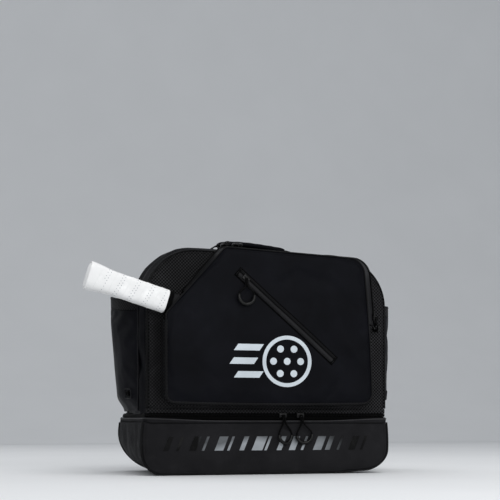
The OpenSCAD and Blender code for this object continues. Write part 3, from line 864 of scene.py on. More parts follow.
def tub_gusset():
    """Sides and floor of the tub, from its front seam to its back seam."""
    count, deep = 170, 30
    front, back = tub_edge(count), tub_back_edge(count)
    y0, y1 = FACE_Y + 1, box("tub_back")[0].y

    def point(i, r):
        p = front[i].lerp(back[i], smooth(r) * 0.4 + r * 0.6)
        on_floor = smooth((16 - p.y) / 14)
        full = math.sin(math.pi * r) ** 0.6 * (1 - on_floor)
        out = Vector((math.copysign(1, p.x), 0))
        p = p + out * (1.4 + 2.4 * r + 1.2 * rough((p.x, r * 200, p.y), 45, 3.0)) * full
        return Vector((p.x, mix(y0, y1, r), max(p.y, TUB_LOW.z + 0.2)))
    rows = [[point(i, j / (deep - 1)) for i in range(count)] for j in range(deep)]
    obj = sheet("tub_gusset_fabric", rows, TUB)
    cloth(obj, border(rows), 0.8, 1.5, spare=0.008)
    for v in obj.data.vertices:
        v.co.z = max(v.co.z, (TUB_LOW.z + 0.1) * MM)
    piece(thicken(obj, 2.4, LINING), "shoe_compartment", "tub_fabric", "tub_gusset")


def tub_back():
    """Back panel of the tub, up to the hinge fold."""
    corners = tub_corners(0.5, TUB_BACK_R)
    corners[2:] = [(x, box("tub_back")[1].z, 0) for x, _, _ in corners[2:]]

    def point(p, s, t):
        return Vector((p.x, BACK_Y - 0.6 + 1.2 * swell(s, t, 0.5) + 0.4 * rough((p.x, 9, p.y), 40), p.y))
    rows = shaped([tub_bulge(row, 5.0) for row in coons(corners, 90, 26)], point)
    obj = sheet("tub_back_fabric", [row[::-1] for row in rows], TUB, planar=True)
    piece(thicken(obj, 2.2, LINING), "shoe_compartment", "tub_fabric", "tub_back")


def tub_piping():
    """Cords along the tub's front and back seams, and the thread beside the front one."""
    edge = tub_edge(200)
    path = lift(edge, FACE_Y + 0.3)
    for p in path:
        p.z = max(p.z, TUB_LOW.z + 1.6)
    outs = [-o for o in outward(edge)]
    seam = sweep("tub_piping_cord", path, outs, ring(1.5, 10), BINDING)
    piece(seam, "shoe_compartment", "piping", "tub_piping")
    rear = tub_back_edge(170)
    path = [Vector((p.x, BACK_Y - 1.4, max(p.y, TUB_LOW.z + 2.0))) for p in rear]
    outs = [-o for o in outward(rear)]
    seam = sweep("tub_back_piping_cord", path, outs, ring(1.9, 10), BINDING)
    piece(seam, "shoe_compartment", "piping")
    inner = tub_edge(200, 6.0)
    thread = stitches("tub_seam_stitches", lift(inner, FACE_Y - 1.0), [FRONT] * 200, THREAD)
    piece(thread, "shoe_compartment", "tub_fabric")


def around(half, front, back, radius, z, step=4.0):
    """Level path from the left back, round the front, to the right back, and its outward vectors."""
    corners = [(-half, back, 0), (-half, front, radius), (half, front, radius), (half, back, 0)]
    points, marks = outline(corners)
    line = between(points, marks[0], marks[3])
    line = resample(line, int(lengths(line)[-1] / step))
    path = [Vector((p.x, p.y, z)) for p in line]
    return path, [Vector((d.y, -d.x, 0)) for d in directions(path)]


def lip_height(x):
    """Share of its height at which the lip over the zip stands: it rolls open towards the middle."""
    return mix(0.3, 0.78, smooth((abs(x) - 80) / 120))


def lip_rows(path, outs):
    """Sections of the padded lip: sewn in below, and rolled open in front where the sliders are."""
    section = [(0.0, -1.2), (1.2, -0.6), (1.9, 0.22), (2.1, 0.55), (1.6, 0.84), (0.5, 1.0), (-0.7, 0.93),
               (-1.3, 0.6), (-1.6, 0.1), (-1.6, -1.2)]    # mm out; share of the height, or mm if below 0
    full = RIM_HIGH.z - RIM_LOW.z + 1.5
    rows = []
    for p, out in zip(path, outs):
        at_front = smooth((out.dot(FRONT) - 0.3) / 0.6)
        tall = full * mix(0.85, lip_height(p.x), at_front)
        fat = 1.0 + 0.35 * rough(p, 40, 8.0)
        rows.append([p + out * a * fat + UP * (b * tall if b > 0 else b) for a, b in section])
    return rows


def storm_band():
    """Padded lip over the shoe zip, with a groove at its seam and a bead on its crest that is painted lighter
    as a highlight.
    """
    half, front, back = RIM_HIGH.x - 1.5, RIM_LOW.y + 0.3, RIM_HIGH.y + 2.4
    path, outs = around(half, front, back, 13, RIM_LOW.z, 3.0)
    rows = lip_rows(path, outs)
    obj = shell("storm_band_lip", rows, lengths(path), [j * 2.0 for j in range(len(rows[0]))], TUB)
    piece(refine(obj), "shoe_compartment", "tub_fabric", "storm_band")
    low_path, low_outs = around(half + 1.0, front - 1.0, back, 13, RIM_LOW.z - 0.6, 3.0)
    groove = sweep("storm_band_seam", low_path, low_outs, tape(1.6, 1.2), BINDING)
    crest = [row[4].lerp(row[3], 0.5) + o * 0.3 for row, o in zip(rows, outs)]
    # the bead's light colour is a painted highlight along the lip's crest
    bead = cord("storm_band_bead", crest, 0.75, LIP_EDGE_PAINTED_HIGHLIGHT, sides=8)
    piece(join("storm_band_edges", [groove, bead]), "shoe_compartment", "piping")


def shoe_zip(node, body, up):
    """Half of the three-sided zip, tape and coil: up is 1 for the upper half and -1 for the lower one."""
    low, high = box(node)
    half = min(high.x, TUB_HIGH.x - 1)
    seam = 3.2 if up < 0 else 0.0                  # the lower tape is sewn in deeper
    z = ZIP_Z + up * 1.9 - seam
    path, outs = around(half - 1.2, low.y + 1.4, high.y, 10, z)
    band = sweep(node + "_tape", path, outs, tape(3.6 + 2 * seam, 1.0), RUBBER)
    for p in path:
        p.z = ZIP_Z + up * 0.75
    teeth = coil(node + "_coil", [p + o * 0.9 for p, o in zip(path, outs)], outs, ZIPPER, 0.9, 0.42)
    piece(join(node + "_half", [band, teeth]), body, "zip", node)


def zip_shelves():
    """Hem between the foot of the body, which narrows towards the back, and the zip tape below it."""
    made = []
    outer = min(box("shoe_zip_upper")[1].x, TUB_HIGH.x - 1)
    for flip in (1, -1):
        def point(s, t):
            y = mix(FACE_Y + 12, BACK_Y - 5, t)
            inner = side_wall(y) - 4
            return Vector((flip * mix(inner, max(outer, inner + 4), s), y, BODY_Z - 0.2))
        made.append(thicken(outside_out(sheet("zip_shelf", grid(40, 4, point), BINDING)), 1.2))
    piece(join("zip_hems", made), "main_body", "side_fabric")


# ---------------------------------------------------------------- main compartment

def arch(corners, count):
    """Left foot, over the top, to the right foot."""
    return open_outline(corners, 1, 0, count)[::-1]


def gusset_section(r, front, middle, back):
    """Cross-section of the wrap-around gusset: r runs from the front seam to the back seam."""
    mid = 0.3
    if r < mid:
        return [a.lerp(b, math.sin(math.pi / 2 * r / mid)) for a, b in zip(front, middle)]
    return [b.lerp(c, 1 - math.cos(math.pi / 2 * (r - mid) / (1 - mid)) ** 0.8) for b, c in zip(middle, back)]


def back_corners(half, lift_by=0.0, foot_r=0):
    """Corners of the back's outline before it leans."""
    top = DOOR_HIGH.z + 3
    return [(-half, BODY_Z + lift_by, foot_r), (half, BODY_Z + lift_by, foot_r), (half, top, BACK_R),
            (-half, top, BACK_R)]


def main_gusset():
    """Wrap-around side of the main compartment, with its rolled front ridge, creases and soft corners."""
    count, deep = 210, 44
    front = lift(arch(door_corners(0, BODY_Z), count), GUSSET_LOW.y)
    wide = [(-203, BODY_Z, 0), (203, BODY_Z, 0), (202, DOOR_HIGH.z + 3, DOOR_R + 8),
            (-203, DOOR_HIGH.z + 7, DOOR_R + 6)]
    middle = lift(arch(wide, count), -40)
    back = [leaning((p.x, BACK_Y - 8, p.y)) for p in arch(back_corners(BACK_HIGH.x), count)]
    rows = []
    for j in range(deep):
        r = j / (deep - 1)
        line = gusset_section(r, front, middle, back)
        for i, p in enumerate(line):
            s = i / (count - 1)
            fade = min(1, 6 * r, 6 * (1 - r)) * min(1, 12 * s, 12 * (1 - s))
            crease = rough((p.x, p.y * 2.2, p.z), 46, 2.0) * 1.6 + rough(p, 17, 4.0) * 0.5
            wander = 0.075 + 0.02 * rough(p, 38, 6.0)
            ridge = math.exp(-((r - wander) / 0.03) ** 2) * (2.4 + 2.4 * rough(p, 30, 9.0))
            gutter = -1.2 * math.exp(-((r - 0.02) / 0.015) ** 2)
            centre = Vector((0, p.y, 220))
            line[i] = p + (p - centre).normalized() * (crease * fade + ridge + gutter)
        rows.append(line)
    obj = sheet("main_gusset_fabric", rows, SIDE)
    cloth(obj, border(rows), 0.8, 2.5, spare=0.012, bend=0.4)
    piece(thicken(obj, 2.2, LINING), "main_body", "side_fabric", "main_gusset")


def back_face(x, z, out=0.0):
    """Point on the leaning back face, out millimetres proud of it."""
    return leaning((x, BACK_Y + out, z))


BACK_OUT = back_face(0, 0, 1) - back_face(0, 0, 0)


def back_panel():
    """Air-mesh back with a channel down its middle, and the binding round it."""
    corners = back_corners(BACK_HIGH.x - 0.5, 0.6, 4)

    def point(p, s, t):
        edge = smooth(min(t, s, 1 - t, 1 - s) * 9)
        channel = math.exp(-(p.x / 11) ** 2) * 2.5
        out = edge * (1.4 - channel) - 2.6 * (1 - edge)
        return back_face(p.x, p.y, out + 0.4 * rough((p.x, 5, p.y), 30, 6))
    rows = shaped(coons(corners, 110, 80), point)
    obj = sheet("back_panel_fabric", [row[::-1] for row in rows], AIRMESH, planar=True)
    piece(thicken(obj, 5.0, LINING), "main_body", "mesh", "back_panel")
    edge = [back_face(p.x, p.y, -2.4) for p in arch(corners, 220)]
    rim = sweep("back_panel_binding", edge, [BACK_OUT] * 220, ring(2.0, 10, 1.3), BINDING)
    piece(rim, "main_body", "piping")


def back_pads():
    """Two moulded air-mesh pads with sewn channels."""
    corners = [(22, 132, 14), (150, 132, 30), (142, 300, 44), (22, 300, 14)]
    channels = (168, 208, 248)
    for side, flip in (("left", -1), ("right", 1)):
        def point(p, s, t):
            dome = smooth(min(s, 1 - s, t, 1 - t) * 7) ** 0.6
            grooves = sum(math.exp(-((p.y - z - 0.12 * p.x) / 3.2) ** 2) for z in channels)
            return back_face(flip * p.x, p.y, 0.6 + 9.0 * dome * (1 - 0.45 * grooves))
        rows = shaped(coons(corners, 46, 60), point)
        name = "back_pad_" + side
        pad = sheet(name, [row[::-flip] for row in rows], AIRMESH, planar=True)
        piece(thicken(pad, 2.0, LINING), "main_body", "mesh", "back_pads")
        ends, _ = outline(corners)
        rim = [back_face(flip * p.x, p.y, 1.0) for p in resample(ends + ends[:1], 160)[:-1]]
        rim = sweep(name + "_binding", rim, [BACK_OUT] * 159, ring(1.4, 8), BINDING, True)
        piece(rim, "main_body", "piping")


def floor_and_sill():
    """Floor between the compartments, and the woven sill under the door."""
    y0, y1, z = FACE_Y + 1.8, BACK_Y - 5.5, BODY_Z + 1.6

    def point(s, t):
        half = side_wall(mix(y0, y1, t)) - 0.8
        x = mix(-half, half, s)
        return Vector((x, mix(y0, y1, t), z - swell(s, t, 0.5) * 0.6 + 0.25 * rough((x, t * 200, 0), 25)))
    obj = thicken(sheet("floor_divider_fabric", grid(30, 50, point), LINING), 1.6, LINING)
    piece(obj, "main_body", "lining", "floor_divider")
    low, high = box("front_sill")
    path, outs = around(high.x - 1.4, low.y + 1.4, high.y, 3, (low.z + high.z) / 2)
    h = (high.z - low.z) / 2
    section = [(1.3, -h), (1.5, 0), (1.3, h), (0.4, h + 0.6), (-1.2, h), (-1.4, 0), (-1.2, -h)]
    sill = sweep("front_sill_fabric", path, outs, section, WOVEN)
    piece(sill, "main_body", "side_fabric", "front_sill")


def zip_half(node, body, path, outs, shift, width, offset):
    """Tape and coil on one side of a path: shift is -1 in front of it and 1 behind it."""
    band = sweep(node + "_tape", [p + BACK * shift * offset for p in path], outs, tape(width, 1.0), WEBBING)
    path = [p + BACK * shift * 0.8 + o * 0.7 for p, o in zip(path, outs)]
    teeth = coil(node + "_coil", path, outs, ZIPPER, 0.95, 0.45)
    piece(join(node + "_half", [band, teeth]), body, "zip", node)


def main_zip(node, body, shift):
    """Half of the zip that follows the door."""
    edge = arch(door_corners(1.2), 260)
    middle = (box("main_zip_front")[1].y + box("main_zip_rear")[0].y) / 2
    zip_half(node, body, lift(edge, middle), [-o for o in outward(edge)], shift, 3.0, 1.6)


# ---------------------------------------------------------------- side pockets

POCKET_LOW, POCKET_HIGH = box("side_pocket_left")
BAND_LOW, BAND_HIGH = box("side_band_left")


def pocket_point(s, t, proud=0.0, full=False):
    """Point on the left pocket: s from its front seam to its back seam, t from its bottom to its mouth.

    A full pocket stands out further; the right one is full, and is mirrored afterwards.
    """
    y = mix(POCKET_LOW.y + 1, POCKET_HIGH.y - 1, s)
    mouth = mix(BAND_HIGH.z - 13, BAND_HIGH.z, smooth(s * 1.2))
    z = mix(BODY_Z + 4, mouth, t)
    tuck = smooth(t / 0.14)
    reach = (mix(38, 47, t ** 0.5) if full else mix(26, 43, t ** 0.8)) * mix(0.66, 1.0, tuck)
    bow = math.sin(math.pi * clamp(s)) ** (0.32 if full else 0.5)
    slack = rough((0, y * 1.4, z * 0.6), 44, 11.0) * 1.6 + rough((0, y, z), 16, 3.0) * 0.3
    x = -191 - reach * bow + slack * bow
    x = min(x, -side_wall(y) - 0.8)
    return Vector((x - proud, y, z))


def pocket_hem(t, side_out):
    """Rolled front edge of the left pocket, which stands off the body and wanders in soft waves."""
    p = pocket_point(0.0, t)
    wave = 1.7 * math.sin(t * 13.0 + 0.6) + 0.9 * math.sin(t * 29.0)
    return Vector((p.x - 2.4 - side_out, p.y - 1.0 + wave, p.z))


def pocket_cloth(full):
    """Rows of the left pocket's fabric, up to the elastic band, and the part of its height that it takes."""
    split = 1 - (BAND_HIGH.z - BAND_LOW.z) / (BAND_HIGH.z - BODY_Z - 4)
    rows = grid(66, 64, lambda s, t: pocket_point(1 - s, split * t, 0.0, full))
    for j, row in enumerate(rows):
        t = split * j / (len(rows) - 1)
        row[-2] = pocket_hem(t, 0.2).lerp(row[-3], 0.35)
        row[-1] = pocket_hem(t, 0.0)
    return rows, split


def pocket_band(split, full):
    """Rows of the elastic band at the left pocket's mouth."""
    rows = grid(12, 64, lambda s, t: pocket_point(1 - s, mix(split, 1.0, t), 0.5 - 0.5 * t, full))
    for j, row in enumerate(rows):
        row[-1] = pocket_hem(mix(split, 1.0, j / 11), 0.3)
    return rows


def flip_all(points, flip):
    """The points as they are, or mirrored to the other side when flip is -1."""
    return [Vector((p.x * flip, p.y, p.z)) for p in points]


def mirrored(rows):
    """A sheet's rows on the other side, in the order that keeps its outside outwards."""
    return [flip_all(row, -1)[::-1] for row in rows]


def side_pocket(side):
    """Pocket on the side, with its elastic band, seams and rolled front edge. The right one is full."""
    full = side == "right"
    flip = -1 if full else 1
    rows, split = pocket_cloth(full)
    band = pocket_band(split, full)
    if full:
        rows, band = mirrored(rows), mirrored(band)
    obj = sheet(f"side_pocket_{side}_fabric", rows, POCKET)
    cloth(obj, border(rows), 0.5, 1.5, spare=0.01)
    piece(thicken(obj, 2.0, LINING), "main_body", "softshell", f"side_pocket_{side}")
    lip = thicken(sheet(f"side_band_{side}_elastic", band, WOVEN), 2.6, WOVEN)
    piece(lip, "main_body", "webbing", f"side_band_{side}")
    trim = []
    for t, proud in ((split - 0.008, 0.7), (0.985, 0.35)):
        seam = flip_all([pocket_point(i / 59, t, proud, full) for i in range(2, 58)], flip)
        trim.append(stitches("pocket_thread", seam, [Vector((-flip, 0, 0))] * 56, THREAD))
    edge = flip_all([pocket_hem(i / 79, 0.3) for i in range(80)], flip)
    # the rolled front edge is painted lighter as a highlight
    trim.append(cord("pocket_roll", edge, 1.1, HEM_PAINTED_HIGHLIGHT, sides=8))
    piece(join(f"side_pocket_{side}_trim", trim), "main_body", "webbing")


def eyelet(flip):
    """Parts of one square stitched patch with a drain hole in it."""
    s, t, step = 0.2, 0.155, 0.03
    full = flip < 0
    centre = pocket_point(s, t, 0.0, full)
    across = (pocket_point(s + step, t, 0.0, full) - pocket_point(s - step, t, 0.0, full)).normalized()
    tall = (pocket_point(s, t + step, 0.0, full) - pocket_point(s, t - step, 0.0, full)).normalized()
    out = tall.cross(across).normalized()
    out = out if out.x < 0 else -out
    parts = []
    # the patch's outer ring has the hem colour, painted lighter as a highlight
    for w, h, radius, material in ((10.5, 7.4, 0.9, HEM_PAINTED_HIGHLIGHT), (4.6, 3.4, 1.3, RUBBER)):
        shape, _ = outline([(-w, -h, 3), (w, -h, 3), (w, h, 3), (-w, h, 3)], 5)
        path = flip_all([centre + across * p.x + tall * p.y + out * 0.4 for p in shape], flip)
        outs = flip_all([out] * len(path), flip)
        parts.append(sweep("eyelet_ring", path, outs, ring(radius, 8), material, True))
    hole = flip_all([centre + across * 3 * math.cos(a) + tall * 3 * math.sin(a) + out * 0.75
                     for a in (2 * math.pi * k / 16 for k in range(16))], flip)
    disc = make_mesh("eyelet_hole", hole, [tuple(range(16))], [(0, 0)] * 16, RUBBER)
    return parts + [thicken(disc, 0.5)]


def eyelets():
    """Drain patches, low on both pockets."""
    piece(join("pocket_eyelet_patches", eyelet(1) + eyelet(-1)), "main_body", "eyelet", "pocket_eyelets")


# ---------------------------------------------------------------- door

def margin_folds(p):
    """Folds of the door's margin beside the pocket: a pinch half way up the left, and drawn-in corners."""
    pinch = math.exp(-((p.y - 166 - (p.x + 188) * 0.4) / 3.5) ** 2) * math.exp(-((p.x + 189) / 9) ** 2)
    drawn = math.sin((p.x + p.y) / 5.0) * math.exp(-(((p.x + 180) / 22) ** 2 + ((p.y - 112) / 20) ** 2))
    rolled = math.exp(-((abs(p.x + 1) - 188) / 4.5) ** 2) * (0.8 + 0.8 * rough((0, 0, p.y), 26, 5.0))
    below = 0.6 * rough((p.x, 0, p.y * 3), 20, 3.0) * smooth((118 - p.y) / 8)
    full = math.exp(-((p.x + 186) / 6) ** 2) * (1.6 + 0.9 * rough((3, 0, p.y), 40, 11.0))
    under_grip = 1 - smooth((p.y - 232) / 12) * (1 - smooth((p.x + 60) / 40))
    return (-2.2 * pinch + 0.8 * drawn + 0.9 * rolled + full + below) * under_grip


def door_panel():
    """Woven door behind the paddle pocket."""
    def point(p, s, t):
        full = swell(s, t, 0.4)
        ripple = rough((p.x * 2.0, 0, p.y * 0.7), 42, 1.0) * 1.1 + rough((p.x, 0, p.y), 15, 7.0) * 0.3
        folds_in = (ripple * 0.4 + margin_folds(p)) * min(1, 8 * full)
        return Vector((p.x, FACE_Y + 0.4 - 0.7 * full - folds_in, p.y))
    rows = shaped(coons(door_corners(2.2), 118, 78), point)
    obj = sheet("door_fabric", rows, WOVEN, planar=True)
    piece(thicken(obj, 2.6, LINING), "front_door", "woven", "door_panel")


def door_piping():
    """Cord round the door, and the thread inside it."""
    edge = arch(door_corners(1.2), 260)
    outs = [-o for o in outward(edge)]
    seam = sweep("door_piping_cord", lift(edge, FACE_Y + 0.4), outs, ring(1.3, 10), BINDING)
    piece(seam, "front_door", "piping", "door_piping")
    inner = arch(door_corners(5.5), 260)
    thread = stitches("door_seam_stitches", lift(inner, FACE_Y - 0.15), [FRONT] * 260, THREAD)
    piece(thread, "front_door", "woven")


# ---------------------------------------------------------------- paddle pocket

SPLIT_Z = box("flap_gusset")[0].z
ZIP_FRONT_Y = box("pocket_zip_front")[1].y
ZIP_REAR_Y = box("pocket_zip_rear")[0].y
FLAP_SLOPE = 10                                # the right wall slopes out towards the door


def flap_face(x, z):
    """Depth of the pocket's face before it settles: a soft hump over the paddle, and a slack right side."""
    hump = math.exp(-(((x + 22) / 105) ** 2 + ((z - 222) / 92) ** 2) * 1.1)
    across = (x - 128) * 0.78 + (z - 196) * 0.62       # distance from a slanted crease below the zip's end
    along = (z - 196) * 0.78 - (x - 128) * 0.62
    ridge = math.exp(-(across / 8) ** 2) - 0.8 * math.exp(-((across - 15) / 12) ** 2)
    crease = ridge * math.exp(-(along / 30) ** 2)
    corner = math.exp(-(((x + 150) / 26) ** 2 + ((z - 236) / 30) ** 2))
    pull_in = 0.9 * math.exp(-(((x + 120) / 30) ** 2 + ((z - 290) / 24) ** 2))
    wide = rough((x, 0, z), 74, 21.0) * 0.9 + rough((x, 0, z), 31, 5.0) * 0.22
    return FLAP_Y - 2.0 * hump - 1.8 * crease + 1.0 * corner + pull_in + wide


def flap_panel():
    """Face of the paddle pocket with its badge. Returns the finder of its depth."""
    across, up = 124, 92

    def point(p, s, t):
        p = flap_sag(p)
        edge = smooth(min(t * up, s * across, (1 - t) * up, (1 - s) * across) / 5) ** 0.7
        return Vector((p.x, mix(FLAP_SEAM_Y, flap_face(p.x, p.y), edge), p.y))
    rows = shaped(coons(flap_corners(1.2), across, up), point)
    # the face's softshell is painted darker than the same fabric on the side pockets, as shade
    obj = sheet("flap_fabric", rows, SOFTSHELL_PAINTED_SHADE, planar=True)
    cloth(obj, border(rows), 0.5, 1.2, spare=0.006, bend=1.5)
    depth = surface(obj)
    piece(thicken(obj, 2.0, LINING), "paddle_pocket", "softshell", "flap_panel")
    badge = conform("badge_ball", "emblem", depth, FLAP_Y, BADGE, 0.25)
    piece(badge, "paddle_pocket", "badge", "emblem")
    return depth


def flap_edge(inset, count=300, slope=0.0):
    """Closed edge of the pocket's face, after it has sagged."""
    points, _ = outline(flap_corners(inset, slope))
    return [flap_sag(p) for p in resample(points + points[:1], count + 1)[:-1]]


def flap_piping():
    """Cord round the pocket's face, and the thread inside it."""
    edge = flap_edge(0)
    outs = outward(edge, True)
    seam = sweep("flap_piping_cord", lift(edge, FLAP_Y + 1.7), outs, ring(1.2, 10), BINDING, True)
    piece(seam, "paddle_pocket", "piping", "flap_piping")
    inner = flap_edge(4.2)
    path = [Vector((p.x, flap_face(p.x, p.y) - 0.1, p.y)) for p in inner]
    thread = stitches("flap_seam_stitches", path, [FRONT] * len(inner), SOFTSHELL_PAINTED_SHADE, 3.2, 2.2, 0.2)
    piece(thread, "paddle_pocket", "softshell")


def in_handle_way(x, z):
    """Whether a point of the pocket's wall stands where the handle comes out."""
    axis_z = GRIP_END.z + (x - GRIP_END.x) * GRIP_AXIS.z / GRIP_AXIS.x
    return x < -120 and abs(z - axis_z) * abs(GRIP_AXIS.x) < GRIP_W / 2 + 3


def wall_rows(front, back, deep, keep, pleats=0, count=420):
    """Rows of the pocket's wall between two depths, along the part of its edge that keep() picks."""
    edge, far_edge = flap_edge(1.0, count), flap_edge(1.0, count, FLAP_SLOPE)
    outs = outward(edge, True)
    picked = [keep(p) for p in edge]
    start = next(i for i in range(count) if picked[i] and not picked[i - 1])
    order = [(start + i) % count for i in range(count)]
    order = order[:next((i for i, k in enumerate(order) if not picked[k]), count)]
    rows = []
    for j in range(deep):
        r = j / max(deep - 1, 1)
        y = mix(front, back, r)
        reach = clamp((y - FLAP_Y) / (ZIP_REAR_Y - FLAP_Y))
        fold = 2.0 * abs(math.sin(math.pi * pleats * r)) if pleats else 0.8 * math.sin(math.pi * r)
        row = []
        for k in order:
            p = edge[k].lerp(far_edge[k], reach)
            p.x += 6 * reach * smooth((p.y - 228) / 8) * smooth((p.x - 60) / 60)
            spread = (2.0 + 2.5 * smooth((p.x + 150) / 60)) * reach
            p = Vector((p.x, y, p.y)) + outs[k] * (spread - fold)
            row.append(p + outs[k] * 0.9 * rough(p, 24, 13.0) * math.sin(math.pi * r))
        rows.append(row)
    return rows


def flap_gusset():
    """Upper wall of the pocket in two stretches, either side of the handle, and the zip behind it."""
    def over(p):
        return p.y > SPLIT_Z - 1 and not in_handle_way(p.x, p.y)
    rows = wall_rows(FLAP_SEAM_Y, ZIP_FRONT_Y - 2.6, 14, over)
    # the upper wall's coated fabric is painted lighter, partly as a highlight along the pocket's top edge
    obj = thicken(sheet("flap_gusset_fabric", rows[::-1], COATED_PAINTED_HIGHLIGHT), 1.4, LINING)
    piece(obj, "paddle_pocket", "softshell", "flap_gusset")
    middle = (ZIP_FRONT_Y + ZIP_REAR_Y) / 2
    line = wall_rows(middle, middle, 1, over)[0]
    outs = outward([Vector((p.x, p.z)) for p in line])
    zip_half("pocket_zip_front", "paddle_pocket", line, outs, -1, 2.6, 1.5)
    zip_half("pocket_zip_rear", "front_door", line, outs, 1, 2.6, 1.5)


def flap_bellows():
    """Pleated lower wall that joins the door to the pocket's face."""
    def under(p):
        return p.y <= SPLIT_Z - 1 and not in_handle_way(p.x, p.y)
    rows = wall_rows(FLAP_SEAM_Y, FACE_Y - 0.4, 26, under, pleats=2)
    obj = thicken(sheet("flap_bellows_fabric", rows[::-1], WOVEN), 1.2, LINING)
    blend_at = ((0, (FACE_Y - 2) * MM, 0.2), (0, (FLAP_Y + 3) * MM, 0.2))
    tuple(blend_at[0])
    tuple(blend_at[1])
    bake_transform(obj)
    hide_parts("flap_bellows")


# ---------------------------------------------------------------- slanted zip on the pocket

WELT_COUNT = 60
WELT_FROM = Vector((-61, 0, 314))
WELT_TO = Vector((96, 0, 179))
WELT_DIR = (WELT_TO - WELT_FROM).normalized()
WELT_UP = Vector((-WELT_DIR.z, 0, WELT_DIR.x))


def on_flap(depth, p, out):
    """The point of the pocket's face in front of p, out millimetres proud of it."""
    return Vector((p.x, depth(p.x, p.z, FLAP_Y) - out, p.z))


def along_welt(depth, across, out, start=0.0, end=0.0):
    """Evenly spaced points beside the slanted zip, across millimetres above its middle line."""
    length = (WELT_TO - WELT_FROM).length
    places = [mix(start, length - end, i / (WELT_COUNT - 1)) for i in range(WELT_COUNT)]
    return [on_flap(depth, WELT_FROM + WELT_DIR * d + WELT_UP * across, out) for d in places]


def welt_zip(depth):
    """Two coated lips that meet over the coil, with stitching, laid on a near-black sheet that is a painted
    shadow round the zip.
    """
    fronts = [FRONT] * WELT_COUNT
    edges = ((-8.2, -0.2), (-7.9, 0.55), (7.9, 0.55), (8.2, -0.2))        # across and outwards
    rows = [along_welt(depth, a, out, -1.5, -1.5) for a, out in edges]
    # painted shadow: a near-black sheet a little wider than the zip stands for the shade round it
    made = [thicken(sheet("welt_painted_shadow_gap", rows, RUBBER), 0.5)]
    # the lower lip has the coated fabric that is painted lighter as a highlight
    for sign, material, brow, foot in ((-1, COATED_PAINTED_HIGHLIGHT, 6.4, 7.6), (1, ZIP_FILM, 4.6, 5.0)):
        profile = ((0.3, 0.6), (0.45, 1.1), (1.8, 1.75), (3.6, 1.9), (brow, 1.5), (foot, 0.6))
        rows = [along_welt(depth, 1.5 + a * sign, out) for a, out in profile]
        made.append(thicken(sheet("welt_lip", rows[::sign], material), 0.7))
        seam = along_welt(depth, 4.3 * sign, 1.85)
        made.append(stitches("welt_thread", seam, fronts, RUBBER, radius=0.22))
    made.append(coil("welt_coil", along_welt(depth, 0.0, 0.75, 4, 4), fronts, ZIPPER, 0.8, 0.35))
    for end, way in ((WELT_FROM, 1), (WELT_TO, -1)):
        bar = [on_flap(depth, end + WELT_DIR * (1.6 + 0.03 * a * a) * way + WELT_UP * a, 1.7 - 0.012 * a * a)
               for a in (-6.5, -5, -3, 0, 3, 5, 6.5)]
        made.append(sweep("welt_end", bar, [FRONT] * 7, tape(2.2, 0.9), RUBBER))
    piece(join("welt_zip_lips", made), "paddle_pocket", "zip", "welt_zip")


# ---------------------------------------------------------------- paddle

PADDLE_Y = (box("paddle_core")[0].y + box("paddle_core")[1].y) / 2
PADDLE_TILT = math.radians(17)
GRIP_AXIS = Vector((math.cos(PADDLE_TILT), 0, -math.sin(PADDLE_TILT)))
GRIP_SIDE = Vector((math.sin(PADDLE_TILT), 0, math.cos(PADDLE_TILT)))
GRIP_END = Vector((-292, PADDLE_Y, 303.5))
GRIP_L, GRIP_W, GRIP_T = 128, 36, 29
WRAP_PITCH = 23


def handle_radius(angle, w, t):
    """Radius of a soft octagon section of width w and thickness t."""
    power = 3.2
    c, s = abs(math.cos(angle)) / (w / 2), abs(math.sin(angle)) / (t / 2)
    return (c ** power + s ** power) ** (-1 / power)


def on_handle(x, angle, proud):
    """Point on the wrapped grip, x along it from its end: it flares towards the butt."""
    flare = 1 + 0.19 * smooth((46 - x) / 44)
    r = handle_radius(angle, GRIP_W * flare, GRIP_T * (1 + (flare - 1) * 0.9)) + proud
    return GRIP_END + GRIP_AXIS * x + GRIP_SIDE * r * math.cos(angle) + FRONT * r * math.sin(angle)


def wrap_lift(x, angle):
    """Height of the overlapped edge of the spiral wrap."""
    phase = (x / WRAP_PITCH + angle / (2 * math.pi)) % 1.0
    return 0.55 * math.exp(-phase * 9) - 0.15


def grip():
    """The spiral wrap with its overlaps and punched holes."""
    start = 1.5

    def point(s, t):
        a = 2 * math.pi * t
        x = start + (GRIP_L - start) * s
        end = min(x - start, GRIP_L - x)
        soft = -1.6 * (1 - clamp(end / 2.2)) ** 2
        return on_handle(x, a, wrap_lift(x, a) + soft + 0.12 * rough((x, a * 17, 0), 6, 2.0))
    obj = weld(sheet("grip_wrap_spiral", grid(73, 190, point), GRIP))
    piece(thicken(outside_out(obj), 2.2, CAP), "paddle", "grip", "grip_wrap")
    piece(perforations(), "paddle", "grip")


